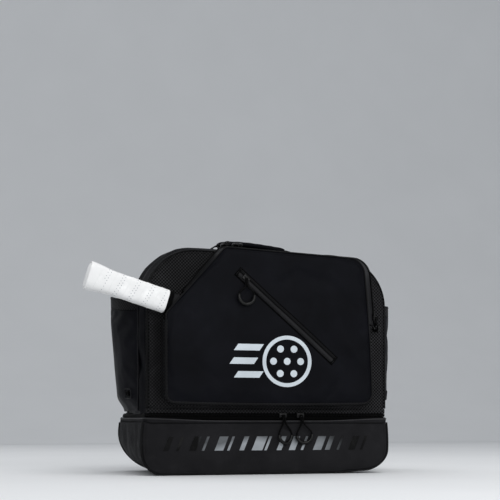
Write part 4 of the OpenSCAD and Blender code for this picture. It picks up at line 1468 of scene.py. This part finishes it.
def perforations():
    """Small punched holes in two staggered rows along the middle of every turn of the wrap."""
    verts, faces = [], []
    turns = int(GRIP_L / WRAP_PITCH) + 1
    per_turn, sides = 22, 8
    for row in (-1, 1):
        for k in range(turns * per_turn):
            a = 2 * math.pi * (k + 0.25 * row) / per_turn
            x = WRAP_PITCH * (a / (2 * math.pi) + 0.5) + row * 2.1
            if x < 26 or x > GRIP_L - 5:
                continue
            centre = on_handle(x, -a, wrap_lift(x, -a) + 0.16)
            out = (on_handle(x, -a, 2.0) - on_handle(x, -a, 0.0)).normalized()
            side = GRIP_AXIS.cross(out).normalized()
            top = len(verts)
            low = top + sides
            for depth, r in ((0.0, 0.62), (-0.5, 0.5)):
                for q in range(sides):
                    b = 2 * math.pi * q / sides
                    verts.append(centre + out * depth + (GRIP_AXIS * math.cos(b) + side * math.sin(b)) * r)
            for q in range(sides):
                after = (q + 1) % sides
                faces.append((top + q, top + after, low + after, low + q))
            faces += [tuple(top + q for q in range(sides)), tuple(low + q for q in range(sides))[::-1]]
    return outside_out(make_mesh("grip_perforations", verts, faces, [(0, 0)] * len(verts), GRIP_EDGE))


def handle_band(name, x0, x1, w, t, material, cap=0.8):
    """A closed length of handle with softened ends."""
    stations = [(x0, 0.0), (x0, 1.0)] + [(mix(x0, x1, i / 8), 1.0) for i in range(9)] + [(x1, 1.0), (x1, 0.0)]
    rows = []
    for x, f in stations:
        shrink = cap * (1 - clamp(min(x - x0, x1 - x) / 1.2)) ** 2
        rows.append([GRIP_END + GRIP_AXIS * x + (GRIP_SIDE * math.cos(a) + FRONT * math.sin(a))
                     * (handle_radius(a, w, t) - shrink) * f for a in
                     (2 * math.pi * k / 48 for k in range(49))])
    return outside_out(weld(sheet(name, rows, material)))


def rounded_copy(node, material, width):
    """A CAD node with rounded edges and a material of its own."""
    obj = frame["nodes"][node].copy()
    obj.data = obj.data.copy()
    SCENE.collection.objects.link(obj)
    obj.parent = None
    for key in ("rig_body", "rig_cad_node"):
        if key in obj:
            del obj[key]
    obj.name = node + "_rounded"
    obj.data.materials.clear()
    obj.data.materials.append(material)
    return bevel(weld(obj), width, 2)


def paddle():
    """The stowed paddle: wrapped grip, cap, collar, handle, face and edge guard."""
    grip()
    piece(handle_band("butt_cap_disc", 0.6, 9, 36, 28, CAP, 2.0), "paddle", "cap", "butt_cap")
    collar = handle_band("grip_collar_band", GRIP_L - 1.5, GRIP_L + 6.2, 35, 27, RUBBER, 1.0)
    piece(collar, "paddle", "rubber", "grip_collar")
    piece(handle_band("paddle_handle_core", 8, 136, 30, 21, FACE), "paddle", "paddle_face", "paddle_handle")
    piece(rounded_copy("paddle_core", FACE, 1.2), "paddle", "paddle_face", "paddle_core")
    piece(rounded_copy("edge_guard", RUBBER, 1.0), "paddle", "rubber", "edge_guard")


# ---------------------------------------------------------------- haul loop

HAUL = joint("haul_flop")
HAUL_HIGH = box("haul_webbing")[1]


def haul_path(count, start=0.0, end=1.0):
    """The loop has settled: it sags towards its right foot."""
    half = HAUL_HIGH.x - 2
    high = 0.62 * (box("haul_grip")[1].z - 3 - HAUL.z)
    path = []
    for i in range(count):
        a = math.pi * mix(start, end, i / (count - 1))
        lean = 5.5 * math.sin(a) * math.cos(a)
        path.append(Vector((-half * math.cos(a), HAUL.y, HAUL.z + high * math.sin(a) ** 0.7 + lean)))
    return path


def path_outs(path, across=BACK):
    """Outward vectors of a strap whose width runs along across."""
    return [across.cross(d).normalized() * -1 for d in directions(path)]


def blunt(cosine, power):
    """Cosine or sine drawn towards its ends: it turns a round section into a boxy one."""
    return math.copysign(abs(cosine) ** power, cosine)


def haul_tab(flip):
    """Tab under one foot of the loop, and the stitched square on it."""
    foot = flip * (HAUL_HIGH.x - 2)
    low = box("haul_tabs")[0].z
    profile = ((0.2, HAUL.z - 1.5), (0.4, HAUL.z - 4.5), (2.5, low + 1.8), (9, low + 1.0), (13, low + 0.8))
    path = resample([Vector((foot + flip * x, HAUL.y, z)) for x, z in profile], 24)
    tab = sweep("haul_tab", path, path_outs(path), tape(24, 1.6), WEBBING)
    square = [Vector((foot + flip * x, HAUL.y + y, low + 1.9)) for x, y in
              ((4, -9), (12, -9), (12, 9), (4, 9), (4, -9), (12, 9))]
    return [tab, stitches("haul_thread", resample(square, 80), [UP] * 80, THREAD, 2.6, 1.9)]


def haul_loop():
    """Webbing loop with its padded sleeve, and the two tabs that sew it to the top."""
    path = haul_path(70)
    strip = sweep("haul_webbing_strip", path, path_outs(path), tape(24, 1.8), WEBBING)
    piece(strip, "haul_loop", "webbing", "haul_webbing")
    grip_path = haul_path(50, 0.2, 0.8)
    pad = [(4.6 * blunt(math.cos(a), 0.7), 13.4 * blunt(math.sin(a), 0.7))
           for a in (2 * math.pi * k / 24 for k in range(24))]
    scale = [min(1.0, 0.85 + 3.0 * min(i, 49 - i) / 49) * (1 + 0.03 * math.sin(i * 0.9)) for i in range(50)]
    sleeve = sweep("haul_grip_sleeve", grip_path, path_outs(grip_path), pad, SIDE, scale=scale)
    piece(sleeve, "haul_loop", "webbing", "haul_grip")
    piece(join("haul_tab_webbing", haul_tab(-1) + haul_tab(1)), "main_body", "webbing", "haul_tabs")


# ---------------------------------------------------------------- straps

STRAP_TOP_Z, STRAP_END_Z = 330, 158
STRAP_X, STRAP_END_X = 48, 118
STRAP_W, STRAP_T = 64, 12


def side_sign(side):
    return 1 if side == "right" else -1


def strap_centre(t):
    """Middle of the right strap: t from the yoke to its lower end."""
    x = STRAP_X + (STRAP_END_X - STRAP_X) * (1 - math.cos(math.pi * t)) / 2
    z = mix(STRAP_TOP_Z, STRAP_END_Z, t)
    y = BACK_Y + 10.5 + 26 * math.sin(math.radians(150) * t) + STRAP_T / 2
    return leaning((x, y, z))


def strap_frame(t):
    """Across and outward vectors of the strap at t."""
    d = (strap_centre(min(t + 0.02, 1.0)) - strap_centre(max(t - 0.02, 0.0))).normalized()
    across = (Vector((1, 0, 0)) - d * d.x).normalized()
    out = d.cross(across).normalized()
    return across, out if out.y > 0 else -out


def strap_half_width(t):
    """Half of the strap's width, which tapers and waves a little."""
    return STRAP_W / 2 * (1 - 0.35 * t * t) * (0.94 + 0.06 * math.cos(math.pi * 6 * t))


def strap_point(t, across=0.0, out=0.0):
    """Point beside the strap's middle line, in the strap's own directions."""
    side, front = strap_frame(t)
    return strap_centre(t) + front * out + side * across


def strap_foot():
    """Across, outward and downward vectors at the strap's lower end."""
    across, out = strap_frame(1.0)
    down = out.cross(across).normalized()
    return across, out, down if down.z < 0 else -down


def strap_pad(side, flip):
    """Padded air-mesh body of a strap."""
    long_count, ring_count = 60, 28
    rows = []
    for i in range(long_count):
        t = i / (long_count - 1)
        across, out = strap_frame(t)
        end = smooth(min(t, 1 - t) * 22)
        half = strap_half_width(t) * mix(0.86, 1.0, end)
        row = []
        for k in range(ring_count + 1):
            a = 2 * math.pi * k / ring_count
            u, v = blunt(math.cos(a), 0.55), blunt(math.sin(a), 0.75)
            thick = (STRAP_T / 2 - 0.8) * mix(0.35, 1.0, end) * (1 - 0.12 * (1 - abs(u)) * (v > 0))
            row.append(strap_centre(t) + across * half * u + out * thick * v)
        rows.append(flip_all(row, flip))
    caps = [[sum(rows[e], Vector()) / len(rows[e])] * (ring_count + 1) for e in (0, -1)]
    pad = outside_out(weld(sheet(f"strap_{side}_pad", [caps[0]] + rows + [caps[1]], AIRMESH)))
    piece(refine(pad), f"{side}_strap", "mesh", f"strap_{side}")


def strap_trim(side, flip):
    """Bound edges, the webbing down the middle of a strap, and its two seams."""
    trim = []
    for edge in (-1, 1):
        line = [0.015 + 0.97 * i / 89 for i in range(90)]
        path = [strap_centre(t) + strap_frame(t)[0] * edge * (strap_half_width(t) - 0.4) for t in line]
        trim.append(cord("strap_edge", flip_all(path, flip), 1.9, BINDING, sides=8))
    line = [t / 59 for t in range(60)]
    outs = flip_all([strap_frame(t)[1] for t in line], flip)
    web = flip_all([strap_point(t, 0.0, STRAP_T / 2 + 0.2) for t in line], flip)
    trim.append(sweep("strap_web", web, outs, tape(22, 1.4), WEBBING))
    for edge in (-9, 9):
        seam = flip_all([strap_point(t, edge, STRAP_T / 2 + 0.95) for t in line], flip)
        trim.append(stitches("strap_thread", seam, outs, THREAD, 3.4, 2.3, 0.28))
    piece(join(f"strap_{side}_trim", trim), f"{side}_strap", "webbing")


def strap(side):
    """Shoulder strap: pad, trim and buckle."""
    flip = side_sign(side)
    strap_pad(side, flip)
    strap_trim(side, flip)
    piece(ladder_lock(side, flip), f"{side}_strap", "webbing")


def ladder_lock(side, flip):
    """Buckle at the strap's lower end: a frame with two bars, and the webbing that loops through it."""
    across, out, down = strap_foot()
    base = strap_centre(1.0) + down * 4
    made = []
    shape, _ = outline([(-17, -3, 3), (17, -3, 3), (15, 17, 3), (-15, 17, 3)], 4)
    loop = flip_all([base + across * p.x + down * p.y for p in shape], flip)
    outs = flip_all([out] * len(loop), flip)
    made.append(sweep("lock_frame", loop, outs, ring(1.9, 8), BUCKLE, True))
    for d in (4.5, 10.5):
        bar = flip_all([base + across * x + down * d + out * 0.6 for x in (-15, -5, 5, 15)], flip)
        made.append(cord("lock_bar", bar, 1.6, BUCKLE, sides=8))
    profile = ((-8, 0), (-2, 1.5), (3, 2.0), (5, 0.5), (2, -1.6), (-6, -1.8))       # downwards and outwards
    web = resample(flip_all([base + down * d + out * o for d, o in profile], flip), 30)
    outs = path_outs(web, flip_all([across], flip)[0])
    made.append(sweep("lock_web", web, outs, tape(23, 1.3), WEBBING))
    return join(f"strap_{side}_lock", made)


def strap_webbing(side):
    """Loose adjusting webbing from the lower tab to the strap's buckle."""
    _, _, down = strap_foot()
    high = strap_centre(1.0) + down * 15
    low = leaning((160, BACK_Y + 5, 116))
    count = 40
    path = []
    for i in range(count):
        t = i / (count - 1)
        p = low.lerp(high, t)
        p.y += 5 * math.sin(math.pi * t) * (1 - t) + 1.5
        path.append(p)
    path = flip_all(path, side_sign(side))
    along = (path[-1] - path[0]).normalized()
    level = Vector((1, 0, 0)) - along * along.x
    strip = sweep(f"strap_{side}_webbing", path, path_outs(path, level.normalized()), tape(24, 1.5), WEBBING)
    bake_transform(strip)
    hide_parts(f"strap_webbing_{side}")


def yoke():
    """Two sewn layers across the back that carry the straps."""
    made = []
    for z0, z1, out, half, material in ((333, 353, 3.2, 88, SIDE), (337, 349, 5.2, 82, WEBBING)):
        def point(s, t):
            rim = smooth(min(t, 1 - t) * 5) * smooth(min(s, 1 - s) * 20)
            return back_face(mix(half, -half, s), mix(z0, z1, t), out * mix(0.35, 1, rim))
        made.append(thicken(sheet("yoke_layer", grid(8, 60, point), material), 2.0))
    for z in (336, 350):
        seam = [back_face(x, z, 4.4) for x in range(-80, 81, 4)]
        made.append(stitches("yoke_thread", seam, [BACK_OUT] * len(seam), THREAD))
    piece(join("strap_yoke_webbing", made), "main_body", "webbing", "strap_yoke")


def strap_tabs():
    """Low tabs on the back that hold the adjusting webbing, each with a stitched square."""
    made = []
    for flip in (-1, 1):
        def point(s, t):
            width = mix(18, 13, t)
            rim = smooth(min(t, 1 - t) * 6) * smooth(min(s, 1 - s) * 6)
            return back_face(flip * 160 + mix(width, -width, s), mix(103, 123, t), 1.2 + 3.4 * rim)
        made.append(thicken(sheet("tab", grid(10, 16, point), SIDE), 1.8))
        cross = [(-11, 107), (11, 107), (11, 118), (-11, 118), (-11, 107), (11, 118)]
        seam = resample([back_face(flip * 160 + x, z, 4.7) for x, z in cross], 60)
        made.append(stitches("tab_thread", seam, [BACK_OUT] * 60, THREAD, 2.8, 2.0))
    piece(join("strap_tab_webbing", made), "main_body", "webbing", "strap_tabs")


# ---------------------------------------------------------------- sliders and pulls

QUARTER = math.pi / 2
FACING = {"left": Matrix.Scale(-1, 4, (1, 0, 0)), "right": Matrix.Identity(4)}


def slider(name, bridge_material=METAL):
    """Zip slider with its zip along X and its front facing -Y: two flared plates, a body and a bridge."""
    w = 6.0
    top = soft_box("slider_top", (-w, -2.9, -4.1), (w, -1.2, 4.1), 0.8, METAL)
    for v in top.data.vertices:
        v.co.z *= 1 - 0.28 * smooth((v.co.x / MM + 1) / 7)
    under = soft_box("slider_under", (-w, -0.6, -3.9), (w, 0.3, 3.9), 0.5, METAL)
    core = soft_box("slider_core", (-2.2, -1.4, -2.4), (4.8, -0.5, 2.4), 0.4, METAL)
    profile = ((-3.6, -2.6), (-2.9, -4.2), (-1.0, -4.9), (1.4, -4.7), (3.2, -2.7))
    bridge = resample([Vector((x, y, 0)) for x, y in profile], 14)
    return join(name, [top, under, core, cord("slider_bridge", bridge, 0.8, bridge_material, sides=8)])


def pull_path(length, r, twist, count, wobble, circle):
    """Closed loop on a narrow neck, hanging from the origin: twist turns its lower end about the vertical."""
    middle = r - length
    ring_part = [Vector((r * math.sin(a), 0, middle - r * math.cos(a)))
                 for a in (math.radians(circle * (i / 14 - 1)) for i in range(29))]
    neck = min(-3.0, middle + r * (1.5 if circle < 150 else 1.2))
    rough_path = [Vector((0, 0, 0)), Vector((-1.2, 0, -1.5)), Vector((-1.2, 0, neck)), *ring_part,
                  Vector((1.2, 0, neck)), Vector((1.2, 0, -1.5)), Vector((0, 0, 0))]
    path = resample(rough_path, count + 1)[:-1]
    for _ in range(count // 20):
        path = [(path[i - 1] + path[i] * 2 + path[(i + 1) % count]) / 4 for i in range(count)]
    for i, p in enumerate(path):
        turn = twist * smooth(-p.z / length)
        y = 1.2 * math.sin(4 * math.pi * i / count) * wobble
        x = p.x * math.cos(turn) - y * math.sin(turn)
        path[i] = Vector((x, p.x * math.sin(turn) + y * math.cos(turn), p.z))
    return path


def pull(name, length, r, twist=0.0, wobble=1.0, sleeve=0.36, circle=140):
    """Cord loop with a knot at the bridge and a moulded sleeve round its lower end."""
    path = pull_path(length, r, twist, 64, wobble, circle)
    loop = cord(name + "_cord", path, 1.4, CORD, closed=True, sides=8)
    low = pull_path(length, r, twist, 160, wobble, circle)
    n = len(low)
    part = low[int(n * (0.5 - sleeve / 2)):int(n * (0.5 + sleeve / 2))]
    scale = [0.8 + 0.2 * smooth(min(i, len(part) - 1 - i) / 4) for i in range(len(part))]
    moulded = cord(name + "_sleeve", part, 2.75, SLEEVE, sides=12, scale=scale)
    knot = [Vector((1.5 * math.sin(3 * a), 1.5 * math.cos(2 * a), -2.0 - 1.2 * math.cos(a)))
            for a in (2 * math.pi * k / 40 for k in range(40))]
    tied = cord(name + "_knot", knot, 0.95, CORD, closed=True, sides=6)
    return join(name, [loop, moulded, tied])


def place(obj, matrix):
    """Moves a finished mesh into its place."""
    obj.data.transform(matrix)
    return obj


def at(p, rotation=Matrix.Identity(4)):
    """Rotation about the origin, then a move to point p."""
    return Matrix.Translation(Vector(p) * MM) @ rotation


def middle_of(node):
    low, high = box(node)
    return Vector(((low.x + high.x) / 2, (low.y + high.y) / 2, (low.z + high.z) / 2))


def shoe_slider_and_pull(side, twist, swing):
    """Slider on the three-sided zip with its long cord pull, which hangs a little askew."""
    node = f"shoe_slider_{side}"
    middle, high = middle_of(node), box(node)[1]
    centre = Vector((middle.x, high.y, middle.z))
    obj = place(slider(node + "_metal"), at(centre, FACING[side]))
    piece(outside_out(obj), node + "_body", "slider", node)
    name = f"shoe_pull_{side}"
    turn = Matrix.Rotation(-swing, 4, "Y")
    loop = place(pull(name + "_cord", 45.5, 12.4, twist), at(joint(name + "_swing"), turn))
    piece(loop, name + "_body", "cord", name)


def main_slider_and_pull(side, twist):
    """Slider at the top of the door with its short pull, which lies back over it."""
    node = f"main_slider_{side}"
    middle, low = middle_of(node), box(node)[0]
    centre = Vector((middle.x, middle.y, low.z + 0.4))
    turn = Matrix.Rotation(-QUARTER, 4, "X") @ FACING[side]
    obj = place(slider(node + "_metal", BARE_METAL), at(centre, turn))
    piece(outside_out(obj), node + "_body", "slider", node)
    name = f"main_pull_{side}"
    turn = Matrix.Rotation(math.radians(105), 4, "X")
    loop = place(pull(name + "_cord", 27, 5.8, twist), at(joint(name + "_swing"), turn))
    piece(loop, name + "_body", "cord", name)


def pocket_slider_and_pull():
    """Slider on the paddle pocket's right wall, with the smallest pull."""
    turn = Matrix.Rotation(QUARTER, 4, "Z") @ Matrix.Rotation(QUARTER, 4, "Y")
    middle, low = middle_of("pocket_slider"), box("pocket_slider")[0]
    obj = place(slider("pocket_slider_metal"), at((low.x, middle.y, middle.z), turn))
    piece(obj, "pocket_slider_body", "slider", "pocket_slider")
    turn = Matrix.Rotation(QUARTER, 4, "Z")
    loop = place(pull("pocket_pull_cord", 22, 4.6, 0.3), at(joint("pocket_pull_swing"), turn))
    piece(loop, "pocket_pull_body", "cord", "pocket_pull")


def welt_slider_and_pull(depth):
    """Slider at the top of the slanted zip, with the large round pull."""
    hang = joint("welt_pull_swing")
    along = Matrix.Rotation(math.atan2(-WELT_DIR.z, WELT_DIR.x), 4, "Y")
    seat = on_flap(depth, Vector((hang.x, 0, hang.z - 1)), 1.6)
    piece(place(slider("welt_slider_metal"), at(seat, along)), "welt_slider_body", "slider", "welt_slider")
    ring_pull = pull("welt_pull_cord", 41, 12.4, 0.0, 0.6, 0.42, 160)
    piece(place(ring_pull, at(hang)), "welt_pull_body", "cord", "welt_pull")


def sliders_and_pulls(depth):
    """Every zip slider with the cord pull that hangs from it."""
    for side, twist, swing in (("left", 0.3, 0.08), ("right", -0.2, 0.16)):
        shoe_slider_and_pull(side, twist, swing)
        main_slider_and_pull(side, twist)
    pocket_slider_and_pull()
    welt_slider_and_pull(depth)


# ---------------------------------------------------------------- folds across the two main hinges

def fold_strip(name, half, low, high, bulge, material):
    """Strip of fabric at a hinge: a level strip from depth and height low to depth and height high, between
    two bodies.
    """
    def point(s, t):
        p = Vector((mix(-half, half, s), *low)).lerp(Vector((mix(-half, half, s), *high)), t)
        return p + Vector((0, bulge * math.sin(math.pi * t), 0))
    obj = thicken(sheet(name, grid(8, 80, point), material), 1.2, LINING)
    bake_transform(obj)


def folds():
    """Hinge folds behind the tub and under the door."""
    fold_strip("back_fold", -193, (BACK_Y - 0.3, RIM_HIGH.z - 1.5), (BACK_Y - 0.6, BODY_Z + 2.5), 0.9,
               TUB)
    z = joint("door_open").z
    fold_strip("door_fold", 193, (FACE_Y + 0.5, z - 2.2), (FACE_Y + 0.7, z + 2.0), -0.5,
               WOVEN)


# ---------------------------------------------------------------- CAD nodes that stay

def keep_node(node, material):
    """A CAD object that is shown as it is, with a material of its own."""
    obj = frame["nodes"][node]
    obj.data.materials.clear()
    obj.data.materials.append(material)


# ---------------------------------------------------------------- studio

LIGHTS = (("key", (-200, -2500, 1000), 1500, 20),
          ("high", (350, -1250, 2300), 1100, 14),
          ("fill", (1500, -2000, 900), 1600, 12),
          ("top", (0, 300, 2300), 1500, 8),
          ("rim", (-1300, 1500, 1300), 900, 4))            # name, place and size in mm, power in watts


def studio():
    """Floor that curves up into a pale wall, soft lights and the camera."""
    reach, half = 2500, 6000
    ground = [(-half, -4000, 0), (half, -4000, 0), (half, 5000, 0), (-half, 5000, 0)]
    floor = make_mesh("studio_floor", ground, [(0, 1, 2, 3)], None, backdrop("studio_floor_paint"))
    profile = [(reach + reach * math.sin(a), reach - reach * math.cos(a))
               for a in (math.pi / 2 * j / 23 for j in range(24))] + [(5000, 6000)]
    rows = [[Vector((x, y, z)) for x in (-half, half)] for y, z in profile]
    sweep_wall = sheet("studio_backdrop", rows, floor.data.materials[0])
    floor.data.transform(Matrix.Translation((0, 0, -0.0004)))
    world = bpy.data.worlds.new("studio")
    SCENE.world = world
    world.use_nodes = True
    sky = world.node_tree.nodes["Background"]
    sky.inputs[0].default_value = (0.93, 0.96, 1.0, 1)
    sky.inputs[1].default_value = 0.45
    for lamp in LIGHTS:
        light(*lamp)
    camera()


def backdrop(name):
    """Pale grey paint with a faint drift of tone."""
    n = Nodes(name)
    where = n.add("ShaderNodeTexCoord").outputs["Object"]
    drift = n.span(n.noise(where, 3.0, 2.0), 0.3, 0.7, 0.985, 1.01)
    return n.set(Base_Color=n.tone((0.82, 0.83, 0.84), drift), Roughness=0.9, Specular_IOR_Level=0.1)


def light(name, place_mm, size, power):
    """Square area light that looks at the middle of the bag."""
    lamp = bpy.data.lights.new(name, "AREA")
    lamp.energy = power
    lamp.size = size * MM
    obj = bpy.data.objects.new(name, lamp)
    obj.location = Vector(place_mm) * MM
    aim = Vector((0, 0, 0.18)) - obj.location
    obj.rotation_mode = "QUATERNION"
    obj.rotation_quaternion = aim.to_track_quat("-Z", "Y")
    SCENE.collection.objects.link(obj)


def front_view_only(cam, marker, name, value):
    """Gives the lens a shift that fades out when the camera turns away from the marker."""
    curve = cam.data.driver_add(name)
    curve.driver.type = "SUM"
    turned = curve.driver.variables.new()
    turned.type = "ROTATION_DIFF"
    turned.targets[0].id = cam
    turned.targets[1].id = marker
    while curve.modifiers:
        curve.modifiers.remove(curve.modifiers[0])
    for angle, shift in ((0.0, value), (0.03, value), (0.06, 0.0)):
        key = curve.keyframe_points.insert(angle, shift)
        key.interpolation = "LINEAR"


def camera():
    """Level camera, a little to the left of the front, with the view shifted upwards."""
    azimuth, distance, height = math.radians(16.75), 1838, 83
    focal, centre_x, horizon = 1159, 268.8, 421.7      # in units of a 500 x 500 frame
    cam = bpy.data.objects.new("camera", bpy.data.cameras.new("camera"))
    SCENE.collection.objects.link(cam)
    ahead = Vector((math.sin(azimuth), math.cos(azimuth), 0))
    cam.location = (Vector((0, -100, height)) - ahead * distance) * MM
    cam.rotation_mode = "QUATERNION"
    cam.rotation_quaternion = ahead.to_track_quat("-Z", "Y")
    cam.data.sensor_width = 36
    cam.data.lens = focal / 500 * 36
    shifts = {"shift_x": (250 - centre_x) / 500, "shift_y": (horizon - 250) / 500}
    marker = bpy.data.objects.new("front_view", None)
    marker.matrix_world = cam.matrix_basis
    SCENE.collection.objects.link(marker)
    for name, value in shifts.items():
        front_view_only(cam, marker, name, value)
    SCENE.camera = cam
    SCENE.view_settings.view_transform = "Standard"


# ---------------------------------------------------------------- build

tub_front()
tub_gusset()
tub_back()
tub_piping()
storm_band()
shoe_zip("shoe_zip_lower", "shoe_compartment", -1)
shoe_zip("shoe_zip_upper", "main_body", 1)
zip_shelves()
main_gusset()
back_panel()
back_pads()
floor_and_sill()
main_zip("main_zip_rear", "main_body", 1)
main_zip("main_zip_front", "front_door", -1)
side_pocket("left")
side_pocket("right")
eyelets()
door_panel()
door_piping()
flap_depth = flap_panel()
flap_piping()
flap_gusset()
flap_bellows()
welt_zip(flap_depth)
paddle()
haul_loop()
strap("left")
strap("right")
strap_webbing("left")
strap_webbing("right")
yoke()
strap_tabs()
sliders_and_pulls(flap_depth)
folds()
keep_node("base_board", SHEET)
keep_node("frame_sheet", SHEET)
studio()
